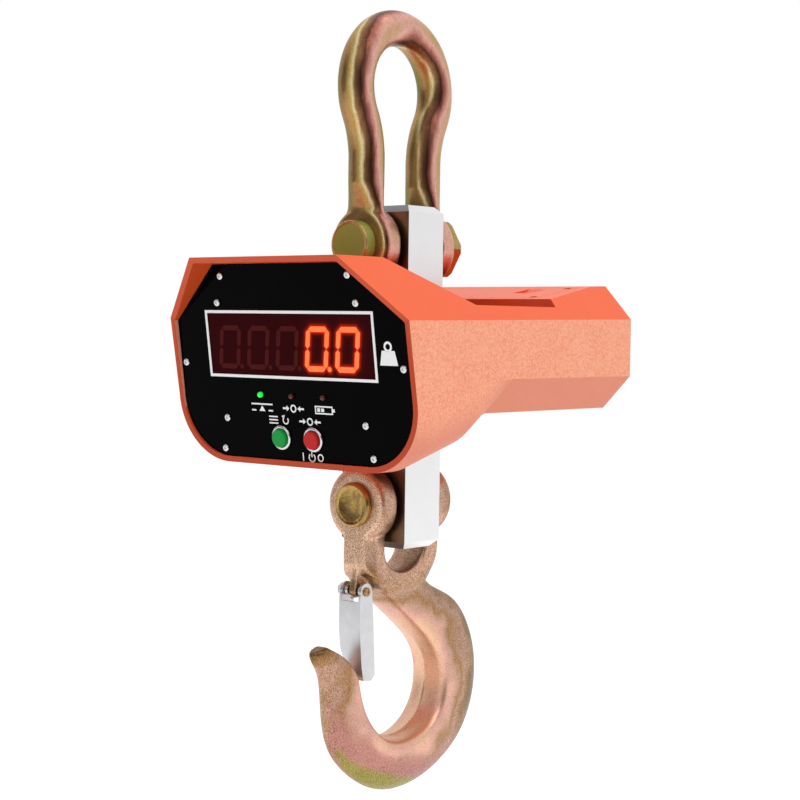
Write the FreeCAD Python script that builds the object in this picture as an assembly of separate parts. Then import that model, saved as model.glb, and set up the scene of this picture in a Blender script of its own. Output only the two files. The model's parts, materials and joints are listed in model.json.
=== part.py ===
"""Crane scale: bow shackle, load-cell bar, die-cast housing with display, and fork hook with latch.

Millimetres, +Z up. The origin is the bearing point inside the crown of the bow, on the load line.
The display faces -Y, both load pins lie along Y, and the bow and the hook lie in the Y-Z plane.
"""
import FreeCAD
import Part
import math
import os
from FreeCAD import Placement, Rotation, Vector

# ---------------------------------------------------------------- driving dimensions
UPPER_PIN_Z = -145.0        # axis of the shackle pin
LOWER_PIN_Z = -331.2        # axis of the hook pin
DATUM_Z = -186.4            # height that the housing's own heights are counted from
PIN_R = 14.0                # both load pins
PIN_CLEAR = 0.05            # radial running clearance of the pins
EAR_R = 26.9                # ears of the bow and of the fork
EAR_IN = 23.7               # |Y| of the ears' inner faces
EAR_OUT = 40.3              # |Y| of the ears' outer faces
EAR_EDGE_R = 5.0            # rounding of their outer edges

ROD_R = 13.0                # bow rod
BOW_R = 44.5                # crown, to the rod's centre line
BOW_TURN = 27.0             # degrees that the crown runs on past its widest point
LEG_Y = 32.0                # |Y| of the legs above the ears

BAR_X = 30.0                # half sizes of the load-cell bar
BAR_Y = 19.8
BAR_TOP = UPPER_PIN_Z + 29.0
BAR_BOTTOM = LOWER_PIN_Z - 32.0
BAR_CHAMFER = 5.0

HALF_WIDTH = 111.6          # housing side faces
WALL = 4.0
REAR_Y = 146.6              # rear end of the housing
FRONT_TOP = 29.4            # top of the display end, above the datum
FLARE_Y0 = -86.0            # the deep front section ends here
FLARE_MID = -36.0           # the underside has risen by FLARE_RISE here
FLARE_RISE = 14.0
FLARE_Y1 = -4.0             # the shallow rear section starts here
FRONT_BOTTOM = -114.5
FRONT_CORNER_R = 46.0
REAR_BOTTOM = -76.5
REAR_CORNER_Z = -51.7
REAR_CORNER_X = 88.0

TILT = 8.34                 # the display plate leans back at its foot, to face down
PLATE_Y = -115.5            # plate's outer face at the datum height
PLATE_T = 3.0
GASKET_T = 1.5
LEDGE_T = 4.0
WINDOW = (-78.6, 78.6, -54.3, -6.9)      # printed frame, outer edge: X range, then height range
TRIM_W = 2.0
DIGIT_PITCH = 27.6
DIGIT_X0 = -57.0
DIGIT_H = -33.0
EDGE_SCREWS = [(59.5, 17.3), (101.7, -44.6), (69.7, -106.0)]
BOARD_SCREWS = [(64.9, -1.4), (65.0, -83.7)]
LAMPS = [(-30.4, -66.0), (-0.6, -66.0), (28.6, -66.0)]
BUTTONS = {"green": (-13.4, -95.6), "red": (16.4, -95.6)}
BUTTON_R = 6.5
BUTTON_PROUD = 4.5
BUTTON_TRAVEL = 1.5

LATCH_PIVOT = (-37.5, DATUM_Z - 207.0)
LATCH_BOLT_R = 2.5
LATCH_EAR_R = 6.2
LATCH_HALF = 10.0
LATCH_T = 1.8

X_AXIS = Vector(1, 0, 0)
Y_AXIS = Vector(0, 1, 0)
Z_AXIS = Vector(0, 0, 1)


# ---------------------------------------------------------------- helpers
def box(x0, x1, y0, y1, z0, z1):
    return Part.makeBox(x1 - x0, y1 - y0, z1 - z0, Vector(x0, y0, z0))


def rod(start, direction, length, radius):
    return Part.makeCylinder(radius, length, Vector(*start), direction)


def prism_x(points, x0, x1):
    """Outline of (y, z) points, run from x0 to x1."""
    corners = [Vector(x0, y, z) for y, z in points]
    return Part.Face(Part.makePolygon(corners + corners[:1])).extrude(Vector(x1 - x0, 0, 0))


def prism_z(points, z0, z1):
    """Outline of (x, y) points, run from z0 to z1."""
    corners = [Vector(x, y, z0) for x, y in points]
    return Part.Face(Part.makePolygon(corners + corners[:1])).extrude(Vector(0, 0, z1 - z0))


def fuse(shapes):
    whole = shapes[0]
    for shape in shapes[1:]:
        whole = whole.fuse(shape)
    return whole.removeSplitter()


def cut(shape, tools):
    for tool in tools:
        shape = shape.cut(tool)
    return shape


def group(shapes):
    return Part.makeCompound(shapes)


def edges_where(shape, test):
    return [edge for edge in shape.Edges if test(edge)]


def round_edges_at(shape, y):
    """Whole circles of a turned shape that lie in the plane at y."""
    return edges_where(shape, lambda e: abs(e.CenterOfMass.y - y) < 0.01 and len(e.Vertexes) == 1)


def hexagon(across_flats, start, direction, length, spin=0.0):
    """Hexagonal prism; spin turns it about its own axis, in degrees."""
    radius = across_flats / math.sqrt(3.0)
    corners = []
    for step in range(7):
        angle = math.radians(60.0 * step + spin)
        corners.append(Vector(radius * math.cos(angle), radius * math.sin(angle), 0))
    solid = Part.Face(Part.makePolygon(corners)).extrude(Vector(0, 0, length))
    solid.Placement = Placement(Vector(*start), Rotation(Z_AXIS, direction))
    return solid


def to_plate(shape):
    """Moves a shape from plate axes (X, depth inwards, height) to where the display plate is."""
    moved = shape.copy()
    moved.Placement = Placement(Vector(0, PLATE_Y, DATUM_Z), Rotation(X_AXIS, TILT))
    return moved


def plate_rod(x, height, depth0, depth1, radius):
    return rod((x, depth0, height), Y_AXIS, depth1 - depth0, radius)


def both_sides(points):
    return [(side * x, height) for x, height in points for side in (-1, 1)]


# ---------------------------------------------------------------- shackle
def ear(side, radius):
    """Rounded disc on one side, along Y."""
    y0 = EAR_IN if side > 0 else -EAR_OUT
    disc = rod((0, y0, 0), Y_AXIS, EAR_OUT - EAR_IN, radius)
    return disc.makeFillet(EAR_EDGE_R, round_edges_at(disc, EAR_OUT * side))


def bow_leg(side):
    """Leg from the crown to the ear, in the plane X = 0."""
    crown_z = ROD_R - BOW_R
    turn = math.radians(BOW_TURN)
    y1 = BOW_R * math.cos(turn)
    z1 = crown_z - BOW_R * math.sin(turn)
    back_r = (y1 - LEG_Y) / (1.0 - math.cos(turn))
    z2 = z1 - back_r * math.sin(turn)
    top = Vector(0, 0, crown_z + BOW_R)
    wide = Vector(0, side * BOW_R * math.cos(math.radians(-30)), crown_z + BOW_R * 0.5)
    first = Vector(0, side * y1, z1)
    half = turn / 2.0
    mid_y = LEG_Y + back_r * (1.0 - math.cos(half))
    middle = Vector(0, side * mid_y, z2 + back_r * math.sin(half))
    second = Vector(0, side * LEG_Y, z2)
    end = Vector(0, side * LEG_Y, UPPER_PIN_Z + 44.0)
    path = Part.Wire([Part.Arc(top, wide, first).toShape(),
                      Part.Arc(first, middle, second).toShape(),
                      Part.LineSegment(second, end).toShape()])
    profile = Part.Wire([Part.Circle(top, Vector(0, 1, 0), ROD_R).toShape()])
    tube = path.makePipeShell([profile], True, False)
    wires = [Part.Wire([Part.Circle(end, Z_AXIS, ROD_R).toShape()])]
    for above_pin, half_width in ((27.0, 15.5), (12.0, 21.0)):
        middle = Vector(0, side * (EAR_IN + EAR_OUT) / 2.0, UPPER_PIN_Z + above_pin)
        oval = Part.Ellipse(middle, half_width, (EAR_OUT - EAR_IN) / 2.0 - 0.05)
        wires.append(Part.Wire([oval.toShape()]))
    necks = [Part.makeLoft(wires[at:at + 2], True) for at in (0, 1)]
    return fuse([tube] + necks)


def shackle_bow():
    ears = []
    for side in (-1, 1):
        disc = ear(side, EAR_R)
        disc.translate(Vector(0, 0, UPPER_PIN_Z))
        ears.append(disc)
    whole = fuse([bow_leg(-1), bow_leg(1)] + ears)
    return whole.cut(rod((0, -60, UPPER_PIN_Z), Y_AXIS, 120, PIN_R + 0.02))


UPPER_HEAD_Y = -50.3        # outer face of the shackle pin's head
UPPER_HEAD_R = 17.0
UPPER_END_Y = 52.0          # threaded end of the shackle pin
NUT_FLATS = 41.0
NUT_H = 11.2
NUT_CORNER_R = 26.5         # before the corners are turned down


def shackle_pin():
    shank = rod((0, -EAR_OUT, UPPER_PIN_Z), Y_AXIS, EAR_OUT + UPPER_END_Y, PIN_R)
    head = rod((0, UPPER_HEAD_Y, UPPER_PIN_Z), Y_AXIS, -UPPER_HEAD_Y - EAR_OUT, UPPER_HEAD_R)
    rim = round_edges_at(head, UPPER_HEAD_Y)
    end = round_edges_at(shank, UPPER_END_Y)
    return fuse([shank.makeChamfer(1.5, end), head.makeChamfer(0.8, rim)])


def shackle_nut():
    blank = hexagon(NUT_FLATS, (0, EAR_OUT, UPPER_PIN_Z), Y_AXIS, NUT_H)
    dome = Part.makeCone(NUT_CORNER_R, NUT_FLATS / 2.0, NUT_H, Vector(0, EAR_OUT + 3.0, UPPER_PIN_Z), Y_AXIS)
    dome = dome.fuse(rod((0, EAR_OUT, UPPER_PIN_Z), Y_AXIS, 3.0, NUT_CORNER_R))
    return blank.common(dome).cut(rod((0, EAR_OUT - 1, UPPER_PIN_Z), Y_AXIS, 40, PIN_R))


# ---------------------------------------------------------------- load-cell bar
GAUGE_Z = DATUM_Z - 52.0
GAUGE_R = 13.0
BRACKET_T = 4.0
BRACKET_Y = 15.0
BRACKET_LOW = DATUM_Z - 45.0
SADDLE_Z = DATUM_Z - 1.2
BRACKET_TOP = SADDLE_Z - WALL
BOLT_SPOTS = [(y, DATUM_Z - 30.0) for y in (-8.0, 8.0)]
SADDLE_SPOTS = [(side * 48.0, y) for side in (-1, 1) for y in (-8.0, 8.0)]


def load_cell_bar():
    bar = box(-BAR_X, BAR_X, -BAR_Y, BAR_Y, BAR_BOTTOM, BAR_TOP)
    ends = edges_where(bar, lambda e: abs(e.CenterOfMass.z - BAR_TOP) < 0.01
                       or abs(e.CenterOfMass.z - BAR_BOTTOM) < 0.01)
    bar = bar.makeChamfer(BAR_CHAMFER, ends)
    holes = [rod((0, -40, z), Y_AXIS, 80, PIN_R + PIN_CLEAR) for z in (UPPER_PIN_Z, LOWER_PIN_Z)]
    holes += [rod((0, side * BAR_Y, GAUGE_Z), Y_AXIS * -side, 12.0, GAUGE_R) for side in (-1, 1)]
    for side in (-1, 1):
        holes += [rod((side * BAR_X, y, z), X_AXIS * -side, 12.0, 3.0) for y, z in BOLT_SPOTS]
    return cut(bar, holes)


def gauge_covers():
    """Potted covers that seal the strain gauges in their two pockets."""
    covers = []
    for side in (-1, 1):
        disc = rod((0, side * (BAR_Y - 3.0), GAUGE_Z), Y_AXIS * side, 3.0, GAUGE_R)
        rim = rod((0, side * BAR_Y, GAUGE_Z), Y_AXIS * side, 1.2, GAUGE_R + 2.0)
        covers.append(disc.fuse(rim))
    return group(covers)


def bar_brackets():
    brackets = []
    for side in (-1, 1):
        flange = box(BAR_X, BAR_X + BRACKET_T, -BRACKET_Y, BRACKET_Y, BRACKET_LOW, BRACKET_TOP)
        shelf = box(BAR_X, BAR_X + 30.0, -BRACKET_Y, BRACKET_Y, BRACKET_TOP - BRACKET_T, BRACKET_TOP)
        angle = flange.fuse(shelf)
        holes = [rod((BAR_X - 1, y, z), X_AXIS, 10, 3.0) for y, z in BOLT_SPOTS]
        holes += [rod((48.0, y, BRACKET_TOP - 10), Z_AXIS, 20, 2.5) for y in (-8.0, 8.0)]
        angle = cut(angle, holes).removeSplitter()
        brackets.append(angle if side > 0 else angle.mirror(Vector(0, 0, 0), X_AXIS))
    return group(brackets)


def bracket_bolts():
    bolts = []
    for side in (-1, 1):
        for y, z in BOLT_SPOTS:
            shank = rod((side * (BAR_X - 11.0), y, z), X_AXIS * side, 11.0 + BRACKET_T, 3.0)
            head = rod((side * (BAR_X + BRACKET_T), y, z), X_AXIS * side, 6.0, 5.0)
            socket = hexagon(5.0, (side * (BAR_X + BRACKET_T + 3.0), y, z), X_AXIS * side, 4.0)
            bolts.append(shank.fuse(head).cut(socket))
    return group(bolts)


def countersink(x, y, z, length, radius):
    """Hole for a countersunk screw whose flat top is at z."""
    head = Part.makeCone(radius * 2.0, radius, radius, Vector(x, y, z), Vector(0, 0, -1))
    shank = rod((x, y, z - radius), Vector(0, 0, -1), length - radius, radius)
    return head.fuse(shank)


def countersunk(x, y, z, length, radius):
    """Countersunk screw with a hexagon socket, its flat top at z."""
    socket = hexagon(radius * 1.2, (x, y, z - radius * 0.6), Z_AXIS, radius)
    return countersink(x, y, z, length, radius).cut(socket)


def saddle_screws():
    return group([countersunk(x, y, SADDLE_Z, 11.0, 2.5) for x, y in SADDLE_SPOTS])


# ---------------------------------------------------------------- housing
def section(y, inset, front_corner, rise=0.0):
    """Closed outline across the housing at y, moved in by inset; rise lifts the deep section's underside."""
    along = (y + 116.6) / (REAR_Y + 116.6)
    shift = inset * math.tan(math.radians(22.5))
    side_x = HALF_WIDTH - inset
    top_x = 68.65 + along * 7.2 - shift
    top_z = DATUM_Z + FRONT_TOP - inset
    upper_z = DATUM_Z - 12.6 + along * 3.75 - shift
    if front_corner:
        radius = FRONT_CORNER_R - inset
        low_z = DATUM_Z + FRONT_BOTTOM + rise + inset
        lower_z = low_z + radius
        low_x = side_x - radius
        mid = radius * (1.0 - math.sqrt(0.5))
    else:
        low_z = DATUM_Z + REAR_BOTTOM + inset
        lower_z = DATUM_Z + REAR_CORNER_Z + shift
        low_x = REAR_CORNER_X - shift
    edges = []

    def line(xa, za, xb, zb):
        edges.append(Part.LineSegment(Vector(xa, y, za), Vector(xb, y, zb)).toShape())

    def corner(sign, xa, za, xb, zb):
        if front_corner:
            middle = Vector(sign * (side_x - mid), y, low_z + mid)
            edges.append(Part.Arc(Vector(xa, y, za), middle, Vector(xb, y, zb)).toShape())
        else:
            line(xa, za, xb, zb)

    line(-top_x, top_z, top_x, top_z)
    line(top_x, top_z, side_x, upper_z)
    line(side_x, upper_z, side_x, lower_z)
    corner(1, side_x, lower_z, low_x, low_z)
    line(low_x, low_z, -low_x, low_z)
    corner(-1, -low_x, low_z, -side_x, lower_z)
    line(-side_x, lower_z, -side_x, upper_z)
    line(-side_x, upper_z, -top_x, top_z)
    return Part.Wire(edges)


def above_top(inset):
    """Everything over the top surface: the display end, the saddle for the shackle, the ramp."""
    back = inset * 0.9
    profile = [(-150, 29.1), (-94.9 - back * 0.4, 29.9), (-33.0 - back * 0.4, -1.2), (59.0 + inset, -1.2),
               (61.0 + inset, 4.8), (126.0, 15.4), (160, 16.9), (160, 80), (-150, 80)]
    top = profile[-1][1]
    points = [(y, DATUM_Z + z - (inset if z < top else 0)) for y, z in profile]
    return prism_x(points, -150, 150)


def before_rim():
    """Everything in front of the hooded rim."""
    rim = [(80, -168.6), (29.1, -140.0), (-12.6, -116.8), (-67.0, -107.2), (-114.5, -101.0), (-140, -98.0)]
    points = [(y, DATUM_Z + z) for z, y in rim] + [(-260, DATUM_Z - 140), (-260, DATUM_Z + 80)]
    return prism_x(points, -150, 150)


def housing_body(inset, y0, y1):
    """Solid of the housing from y0 to y1, moved in by inset."""
    front = Part.makeLoft([section(y0, inset, True), section(FLARE_Y0, inset, True)], True, True)
    middle = section(FLARE_MID, inset, True, FLARE_RISE)
    flare = Part.makeLoft([section(FLARE_Y0, inset, True), middle], True, True)
    steep = Part.makeLoft([middle, section(FLARE_Y1, inset, False)], True, True)
    rear = Part.makeLoft([section(FLARE_Y1, inset, False), section(y1, inset, False)], True, True)
    return fuse([front, flare, steep, rear]).cut(above_top(inset))


def plate_blank(gap, depth0, depth1):
    """Slab in the display plane, inside the rim, with the given gap to the housing's wall."""
    slab = to_plate(box(-130, 130, depth0, depth1, -130, 60))
    inside = Part.makeLoft([section(-160, WALL + gap, True), section(-70, WALL + gap, True)], True, True)
    return slab.common(inside)


REAR_COVER_Y = REAR_Y - 5.0
REAR_COVER_T = 3.0
REAR_LEDGE = 9.0
COVER_SCREWS = both_sides([(70.0, DATUM_Z + 4.5), (100.0, DATUM_Z - 30.0), (70.0, DATUM_Z - 65.5)])
LID_X = 80.0
LID_Y0 = 66.0
LID_Y1 = 122.0
LID_T = 2.6
LID_LEDGE = 7.0
RAMP_SLOPE = (15.4 - 4.8) / (126.0 - 61.0)
LID_SPOTS = [(side * 74.0, y) for side in (-1, 1) for y in (72.0, 116.0)]
SCOOP_X = 49.0
SCOOP_HALF = 8.5


def ramp_z(y):
    return DATUM_Z + 4.8 + (y - 61.0) * RAMP_SLOPE


def ramp_slab(x0, x1, y0, y1, top, thickness):
    """Slab that follows the ramp; top is its distance above the ramp."""
    points = [(y0, ramp_z(y0) + top), (y1, ramp_z(y1) + top),
              (y1, ramp_z(y1) + top - thickness), (y0, ramp_z(y0) + top - thickness)]
    return prism_x(points, x0, x1)


SEAL_X = BAR_X + 3.5
SEAL_Y = BAR_Y + 3.5


def housing_shell():
    shell = housing_body(0, -160, REAR_Y).cut(before_rim())
    ledge_front = PLATE_T + GASKET_T
    cavity = housing_body(WALL, -160, REAR_Y + 10)
    behind = to_plate(box(-200, 200, ledge_front + LEDGE_T, 400, -200, 200))
    front_room = housing_body(WALL, -160, -60).cut(to_plate(box(-200, 200, ledge_front, 400, -200, 200)))
    neck = Part.makeLoft([section(-160, WALL + 13.0, True), section(-60, WALL + 13.0, True)], True, True)
    neck = neck.cut(above_top(WALL + 13.0))
    rear_stop = REAR_COVER_Y - REAR_LEDGE / 2.0
    main_room = cavity.common(behind).cut(box(-200, 200, rear_stop, 400, DATUM_Z - 200, DATUM_Z + 200))
    rear_room = cavity.common(box(-200, 200, REAR_COVER_Y, 400, DATUM_Z - 200, DATUM_Z + 200))
    rear_neck = box(-90, 90, rear_stop - 1, REAR_Y, DATUM_Z - 60, DATUM_Z + 0.5)
    shell = cut(shell, [front_room, neck, main_room, rear_room, rear_neck])
    tools = [box(-SEAL_X, SEAL_X, -SEAL_Y, SEAL_Y, DATUM_Z - 130, DATUM_Z + 60)]
    tools.append(ramp_slab(-LID_X, LID_X, LID_Y0, LID_Y1, 5.0, 5.0 + LID_T))
    tools.append(ramp_slab(-LID_X + LID_LEDGE, LID_X - LID_LEDGE, LID_Y0 + LID_LEDGE,
                           LID_Y1 - LID_LEDGE, 0.0, 20.0))
    tools += [rod((x, y, ramp_z(y) - 12), Z_AXIS, 12, 1.5) for x, y in LID_SPOTS]
    tools += [countersink(x, y, SADDLE_Z, 11.0, 2.5) for x, y in SADDLE_SPOTS]
    tools += [rod((x, REAR_COVER_Y - 10, z), Y_AXIS, 20, 1.5) for x, z in COVER_SCREWS]
    tools += [to_plate(plate_rod(x, h, 0, 12.0, 1.5)) for x, h in both_sides(EDGE_SCREWS)]
    return cut(shell, tools + [button_room()])


def rear_cover():
    ends = [section(y, WALL + 0.3, False) for y in (FLARE_Y1, REAR_Y)]
    inside = Part.makeLoft(ends, True, True).cut(above_top(WALL + 0.3))
    plate = inside.common(box(-200, 200, REAR_COVER_Y, REAR_COVER_Y + REAR_COVER_T,
                              DATUM_Z - 200, DATUM_Z + 200))
    holes = [rod((x, REAR_COVER_Y - 1, z), Y_AXIS, 10, 1.5) for x, z in COVER_SCREWS]
    holes.append(rod((60.0, REAR_COVER_Y - 1, DATUM_Z - 45.0), Y_AXIS, 10, 4.0))
    return cut(plate, holes)


def pan_screw(start, direction, length, radius, head_r, head_h):
    """Pan-head screw; start is under the head and the head points along direction."""
    shank = rod(start, direction * -1, length, radius)
    head = rod(start, direction, head_h, head_r)
    rims = edges_where(head, lambda e: len(e.Vertexes) == 1
                       and (e.CenterOfMass - Vector(*start)).dot(direction) > head_h * 0.9)
    head = head.makeFillet(head_h * 0.6, rims)
    bottom = Vector(*start) + direction * (head_h * 0.55)
    slot_long = head_r * 0.9
    cross = [Part.makeBox(slot_long, head_r * 0.26, head_h, Vector(-slot_long / 2, -head_r * 0.13, 0)),
             Part.makeBox(head_r * 0.26, slot_long, head_h, Vector(-head_r * 0.13, -slot_long / 2, 0))]
    for arm in cross:
        arm.Placement = Placement(bottom, Rotation(Z_AXIS, direction))
    return cut(shank.fuse(head), cross)


def rear_cover_screws():
    y = REAR_COVER_Y + REAR_COVER_T
    return group([pan_screw((x, y, z), Y_AXIS, 7.0, 1.5, 3.0, 1.8) for x, z in COVER_SCREWS])


def battery_cover():
    lid = ramp_slab(-LID_X + 0.4, LID_X - 0.4, LID_Y0 + 0.4, LID_Y1 - 0.4, 0.0, LID_T)
    for side in (-1, 1):
        scoop = Part.makeCylinder(30.0, 2 * SCOOP_HALF, Vector(0, 0, 0), X_AXIS)
        scoop.translate(Vector(side * SCOOP_X - SCOOP_HALF, 98.0, ramp_z(98.0) + 28.3))
        lid = lid.cut(scoop)
    return cut(lid, [countersink(x, y, ramp_z(y) - 0.3, 9.0, 1.5) for x, y in LID_SPOTS]
               + [rod((x, y, ramp_z(y) - 0.4), Z_AXIS, 4, 3.0) for x, y in LID_SPOTS])


def battery_cover_screws():
    return group([countersunk(x, y, ramp_z(y) - 0.3, 9.0, 1.5) for x, y in LID_SPOTS])


def bar_seals():
    """Rubber sleeves that close the housing round the bar, above with a flange and below flush."""
    frames = []
    for z0, z1 in ((SADDLE_Z - WALL, SADDLE_Z + 1.5), (DATUM_Z - 112.0, DATUM_Z - 80.0)):
        frames.append(box(-SEAL_X + 0.1, SEAL_X - 0.1, -SEAL_Y + 0.1, SEAL_Y - 0.1, z0, z1))
    flange = box(-SEAL_X - 3, SEAL_X + 3, -SEAL_Y - 3, SEAL_Y + 3, SADDLE_Z, SADDLE_Z + 1.5)
    upper = frames[0].fuse(flange)
    lower = frames[1].common(housing_body(-1.0, -160, REAR_Y))
    room = box(-BAR_X, BAR_X, -BAR_Y, BAR_Y, DATUM_Z - 150, DATUM_Z + 20)
    return group([upper.cut(room).removeSplitter(), lower.cut(room).removeSplitter()])


# ---------------------------------------------------------------- display end
def window_box(grow, depth0, depth1):
    x0, x1, h0, h1 = WINDOW
    return box(x0 - grow, x1 + grow, depth0, depth1, h0 - grow, h1 + grow)


def button_room():
    """Room behind the plate for the two push-buttons, through the gasket and the ledge."""
    return to_plate(box(-28.0, 31.0, PLATE_T - 0.5, 30.0, -107.5, -80.0))


def face_gasket():
    ring = plate_blank(0.3, PLATE_T, PLATE_T + GASKET_T)
    inner = plate_blank(12.5, PLATE_T - 1, PLATE_T + GASKET_T + 1)
    holes = [to_plate(plate_rod(x, h, -5, 20, 1.6)) for x, h in both_sides(EDGE_SCREWS)]
    return cut(ring.cut(inner), holes + [button_room()])


def faceplate():
    blank = plate_blank(0.3, 0.0, PLATE_T).cut(above_top(WALL + 0.3))
    holes = [window_box(-TRIM_W, -5, 10)]
    holes += [plate_rod(x, h, -5, 10, 1.5) for x, h in both_sides(EDGE_SCREWS + BOARD_SCREWS)]
    holes += [plate_rod(x, h, -5, 10, 2.0) for x, h in LAMPS]
    holes += [plate_rod(x, h, -5, 10, 8.0) for x, h in BUTTONS.values()]
    return cut(blank, [to_plate(hole) for hole in holes])


def faceplate_screws():
    spots = both_sides(EDGE_SCREWS + BOARD_SCREWS)
    screws = [pan_screw((x, 0.0, h), Y_AXIS * -1, 9.0, 1.5, 2.7, 1.7) for x, h in spots]
    return group([to_plate(screw) for screw in screws])


def window_lens():
    return to_plate(window_box(-TRIM_W, 0.4, PLATE_T))


def window_trim():
    ring = window_box(0, -0.25, 0).cut(window_box(-TRIM_W, -1, 1))
    return to_plate(ring)


def display_board():
    board = box(-76.0, 76.0, 17.0, 18.6, -90.0, 5.0)
    holes = [plate_rod(x, h, 10, 25, 1.5) for x, h in both_sides(BOARD_SCREWS)]
    holes.append(box(-28.0, 31.0, 10, 25, -95.0, -84.0))
    return to_plate(cut(board, holes))


def digit_modules():
    """Five seven-segment display blocks, side by side behind the window."""
    blocks = []
    for place in range(5):
        middle = DIGIT_X0 + place * DIGIT_PITCH
        block = box(middle - 13.6, middle + 13.6, 5.0, 17.0, DIGIT_H - 20.5, DIGIT_H + 20.5)
        blocks.append(to_plate(block))
    return group(blocks)


def board_standoffs():
    posts = []
    for x, h in both_sides(BOARD_SCREWS):
        post = hexagon(6.0, (x, PLATE_T, h), Y_AXIS, 14.0)
        posts.append(to_plate(post.cut(plate_rod(x, h, 0, 9.5, 1.5))))
    return group(posts)


def lamp(x, height):
    dome = Part.makeSphere(2.0, Vector(x, -1.0, height))
    body = plate_rod(x, height, -1.0, 8.0, 2.0)
    flange = plate_rod(x, height, PLATE_T, PLATE_T + 1.2, 2.9)
    return to_plate(fuse([dome, body, flange]))


def button_bezels():
    """Threaded bushes with a polished ring outside the plate and a lock ring behind it."""
    rings = []
    for x, h in BUTTONS.values():
        ring = plate_rod(x, h, -2.2, 0.0, 8.7)
        ring = ring.makeFillet(1.2, round_edges_at(ring, -2.2))
        bush = plate_rod(x, h, 0.0, 8.0, 7.95)
        nut = plate_rod(x, h, PLATE_T, PLATE_T + 2.0, 10.5)
        rings.append(to_plate(fuse([ring, bush, nut]).cut(plate_rod(x, h, -5, 12, BUTTON_R + 0.35))))
    return group(rings)


def button_cap(colour):
    x, h = BUTTONS[colour]
    cap = plate_rod(x, h, -BUTTON_PROUD, 6.0, BUTTON_R)
    cap = cap.makeFillet(1.0, round_edges_at(cap, -BUTTON_PROUD))
    stem = plate_rod(x, h, 6.0, 14.0, 2.0)
    return to_plate(cap.fuse(stem))


def button_switches():
    bodies = []
    for x, h in BUTTONS.values():
        body = plate_rod(x, h, 8.0, 22.0, 7.9)
        body = body.cut(plate_rod(x, h, 7.0, 14.0 + BUTTON_TRAVEL + 0.5, 2.4))
        pins = [box(x + dx - 0.3, x + dx + 0.3, 22.0, 27.0, h - 1.0, h + 1.0) for dx in (-3.0, 3.0)]
        bodies.append(to_plate(fuse([body] + pins)))
    return group(bodies)


BOARD_Y = -50.0
BOARD_FEET = both_sides([(60.0, DATUM_Z - 20.0), (60.0, DATUM_Z - 80.0)])


def main_board():
    board = box(-70, 70, BOARD_Y, BOARD_Y + 1.6, DATUM_Z - 88, DATUM_Z - 12)
    chips = [box(-40, -20, BOARD_Y - 3, BOARD_Y, DATUM_Z - 50, DATUM_Z - 30),
             box(5, 17, BOARD_Y - 2.2, BOARD_Y, DATUM_Z - 60, DATUM_Z - 48),
             rod((35, BOARD_Y - 12, DATUM_Z - 40), Y_AXIS, 12, 5.0),
             rod((35, BOARD_Y - 12, DATUM_Z - 56), Y_AXIS, 12, 5.0)]
    holes = [rod((x, BOARD_Y - 5, z), Y_AXIS, 12, 1.5) for x, z in BOARD_FEET]
    return cut(fuse([board] + chips), holes)


def main_board_frame():
    """Sheet bracket that carries the main board from the bar's front face."""
    web = box(-72, 72, BOARD_Y + 9.6, BOARD_Y + 11.6, DATUM_Z - 88, DATUM_Z - 12)
    arms = [box(x0, x0 + 2.0, BOARD_Y + 11.6, -BAR_Y, DATUM_Z - 76, DATUM_Z - 66) for x0 in (-27.0, 25.0)]
    posts = [hexagon(6.0, (x, BOARD_Y + 1.6, z), Y_AXIS, 8.0) for x, z in BOARD_FEET]
    frame = fuse([web] + arms + posts)
    return cut(frame, [rod((x, BOARD_Y - 5, z), Y_AXIS, 12, 1.5) for x, z in BOARD_FEET])


def main_board_screws():
    return group([pan_screw((x, BOARD_Y, z), Y_AXIS * -1, 7.0, 1.5, 2.8, 1.8) for x, z in BOARD_FEET])


BATTERY = (-50.5, 50.5, 62.0, 132.0, DATUM_Z - 66.0, DATUM_Z - 19.0)


def battery():
    x0, x1, y0, y1, z0, z1 = BATTERY
    case = box(x0, x1, y0, y1, z0, z1)
    tabs = [box(x - 3, x + 3, 68.0, 68.8, z1, z1 + 6) for x in (-35.0, 35.0)]
    return fuse([case.makeFillet(2.0, case.Edges)] + tabs)


def battery_tray():
    """Folded tray under the battery, with a lip each side, resting on the housing's floor."""
    x0, x1, y0, y1, z0, z1 = BATTERY
    floor = DATUM_Z + REAR_BOTTOM + WALL
    deck = box(x0 - 2, x1 + 2, y0 - 2, y1 + 2, floor, z0)
    lips = [box(x0 - 2, x0, y0 - 2, y1 + 2, z0, z0 + 14), box(x1, x1 + 2, y0 - 2, y1 + 2, z0, z0 + 14),
            box(x0 - 2, x1 + 2, y0 - 2, y0, z0, z0 + 14)]
    return fuse([deck] + lips)


def battery_strap():
    x0, x1, y0, y1, z0, z1 = BATTERY
    over = box(x0 - 5, x1 + 5, 92, 108, z1, z1 + 1.5)
    downs = [box(x0 - 5, x0 - 3.5, 92, 108, z0 + 2, z1), box(x1 + 3.5, x1 + 5, 92, 108, z0 + 2, z1)]
    feet = [box(x0 - 5, x0 - 2, 92, 108, z0, z0 + 2), box(x1 + 2, x1 + 5, 92, 108, z0, z0 + 2)]
    return fuse([over] + downs + feet)


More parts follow.
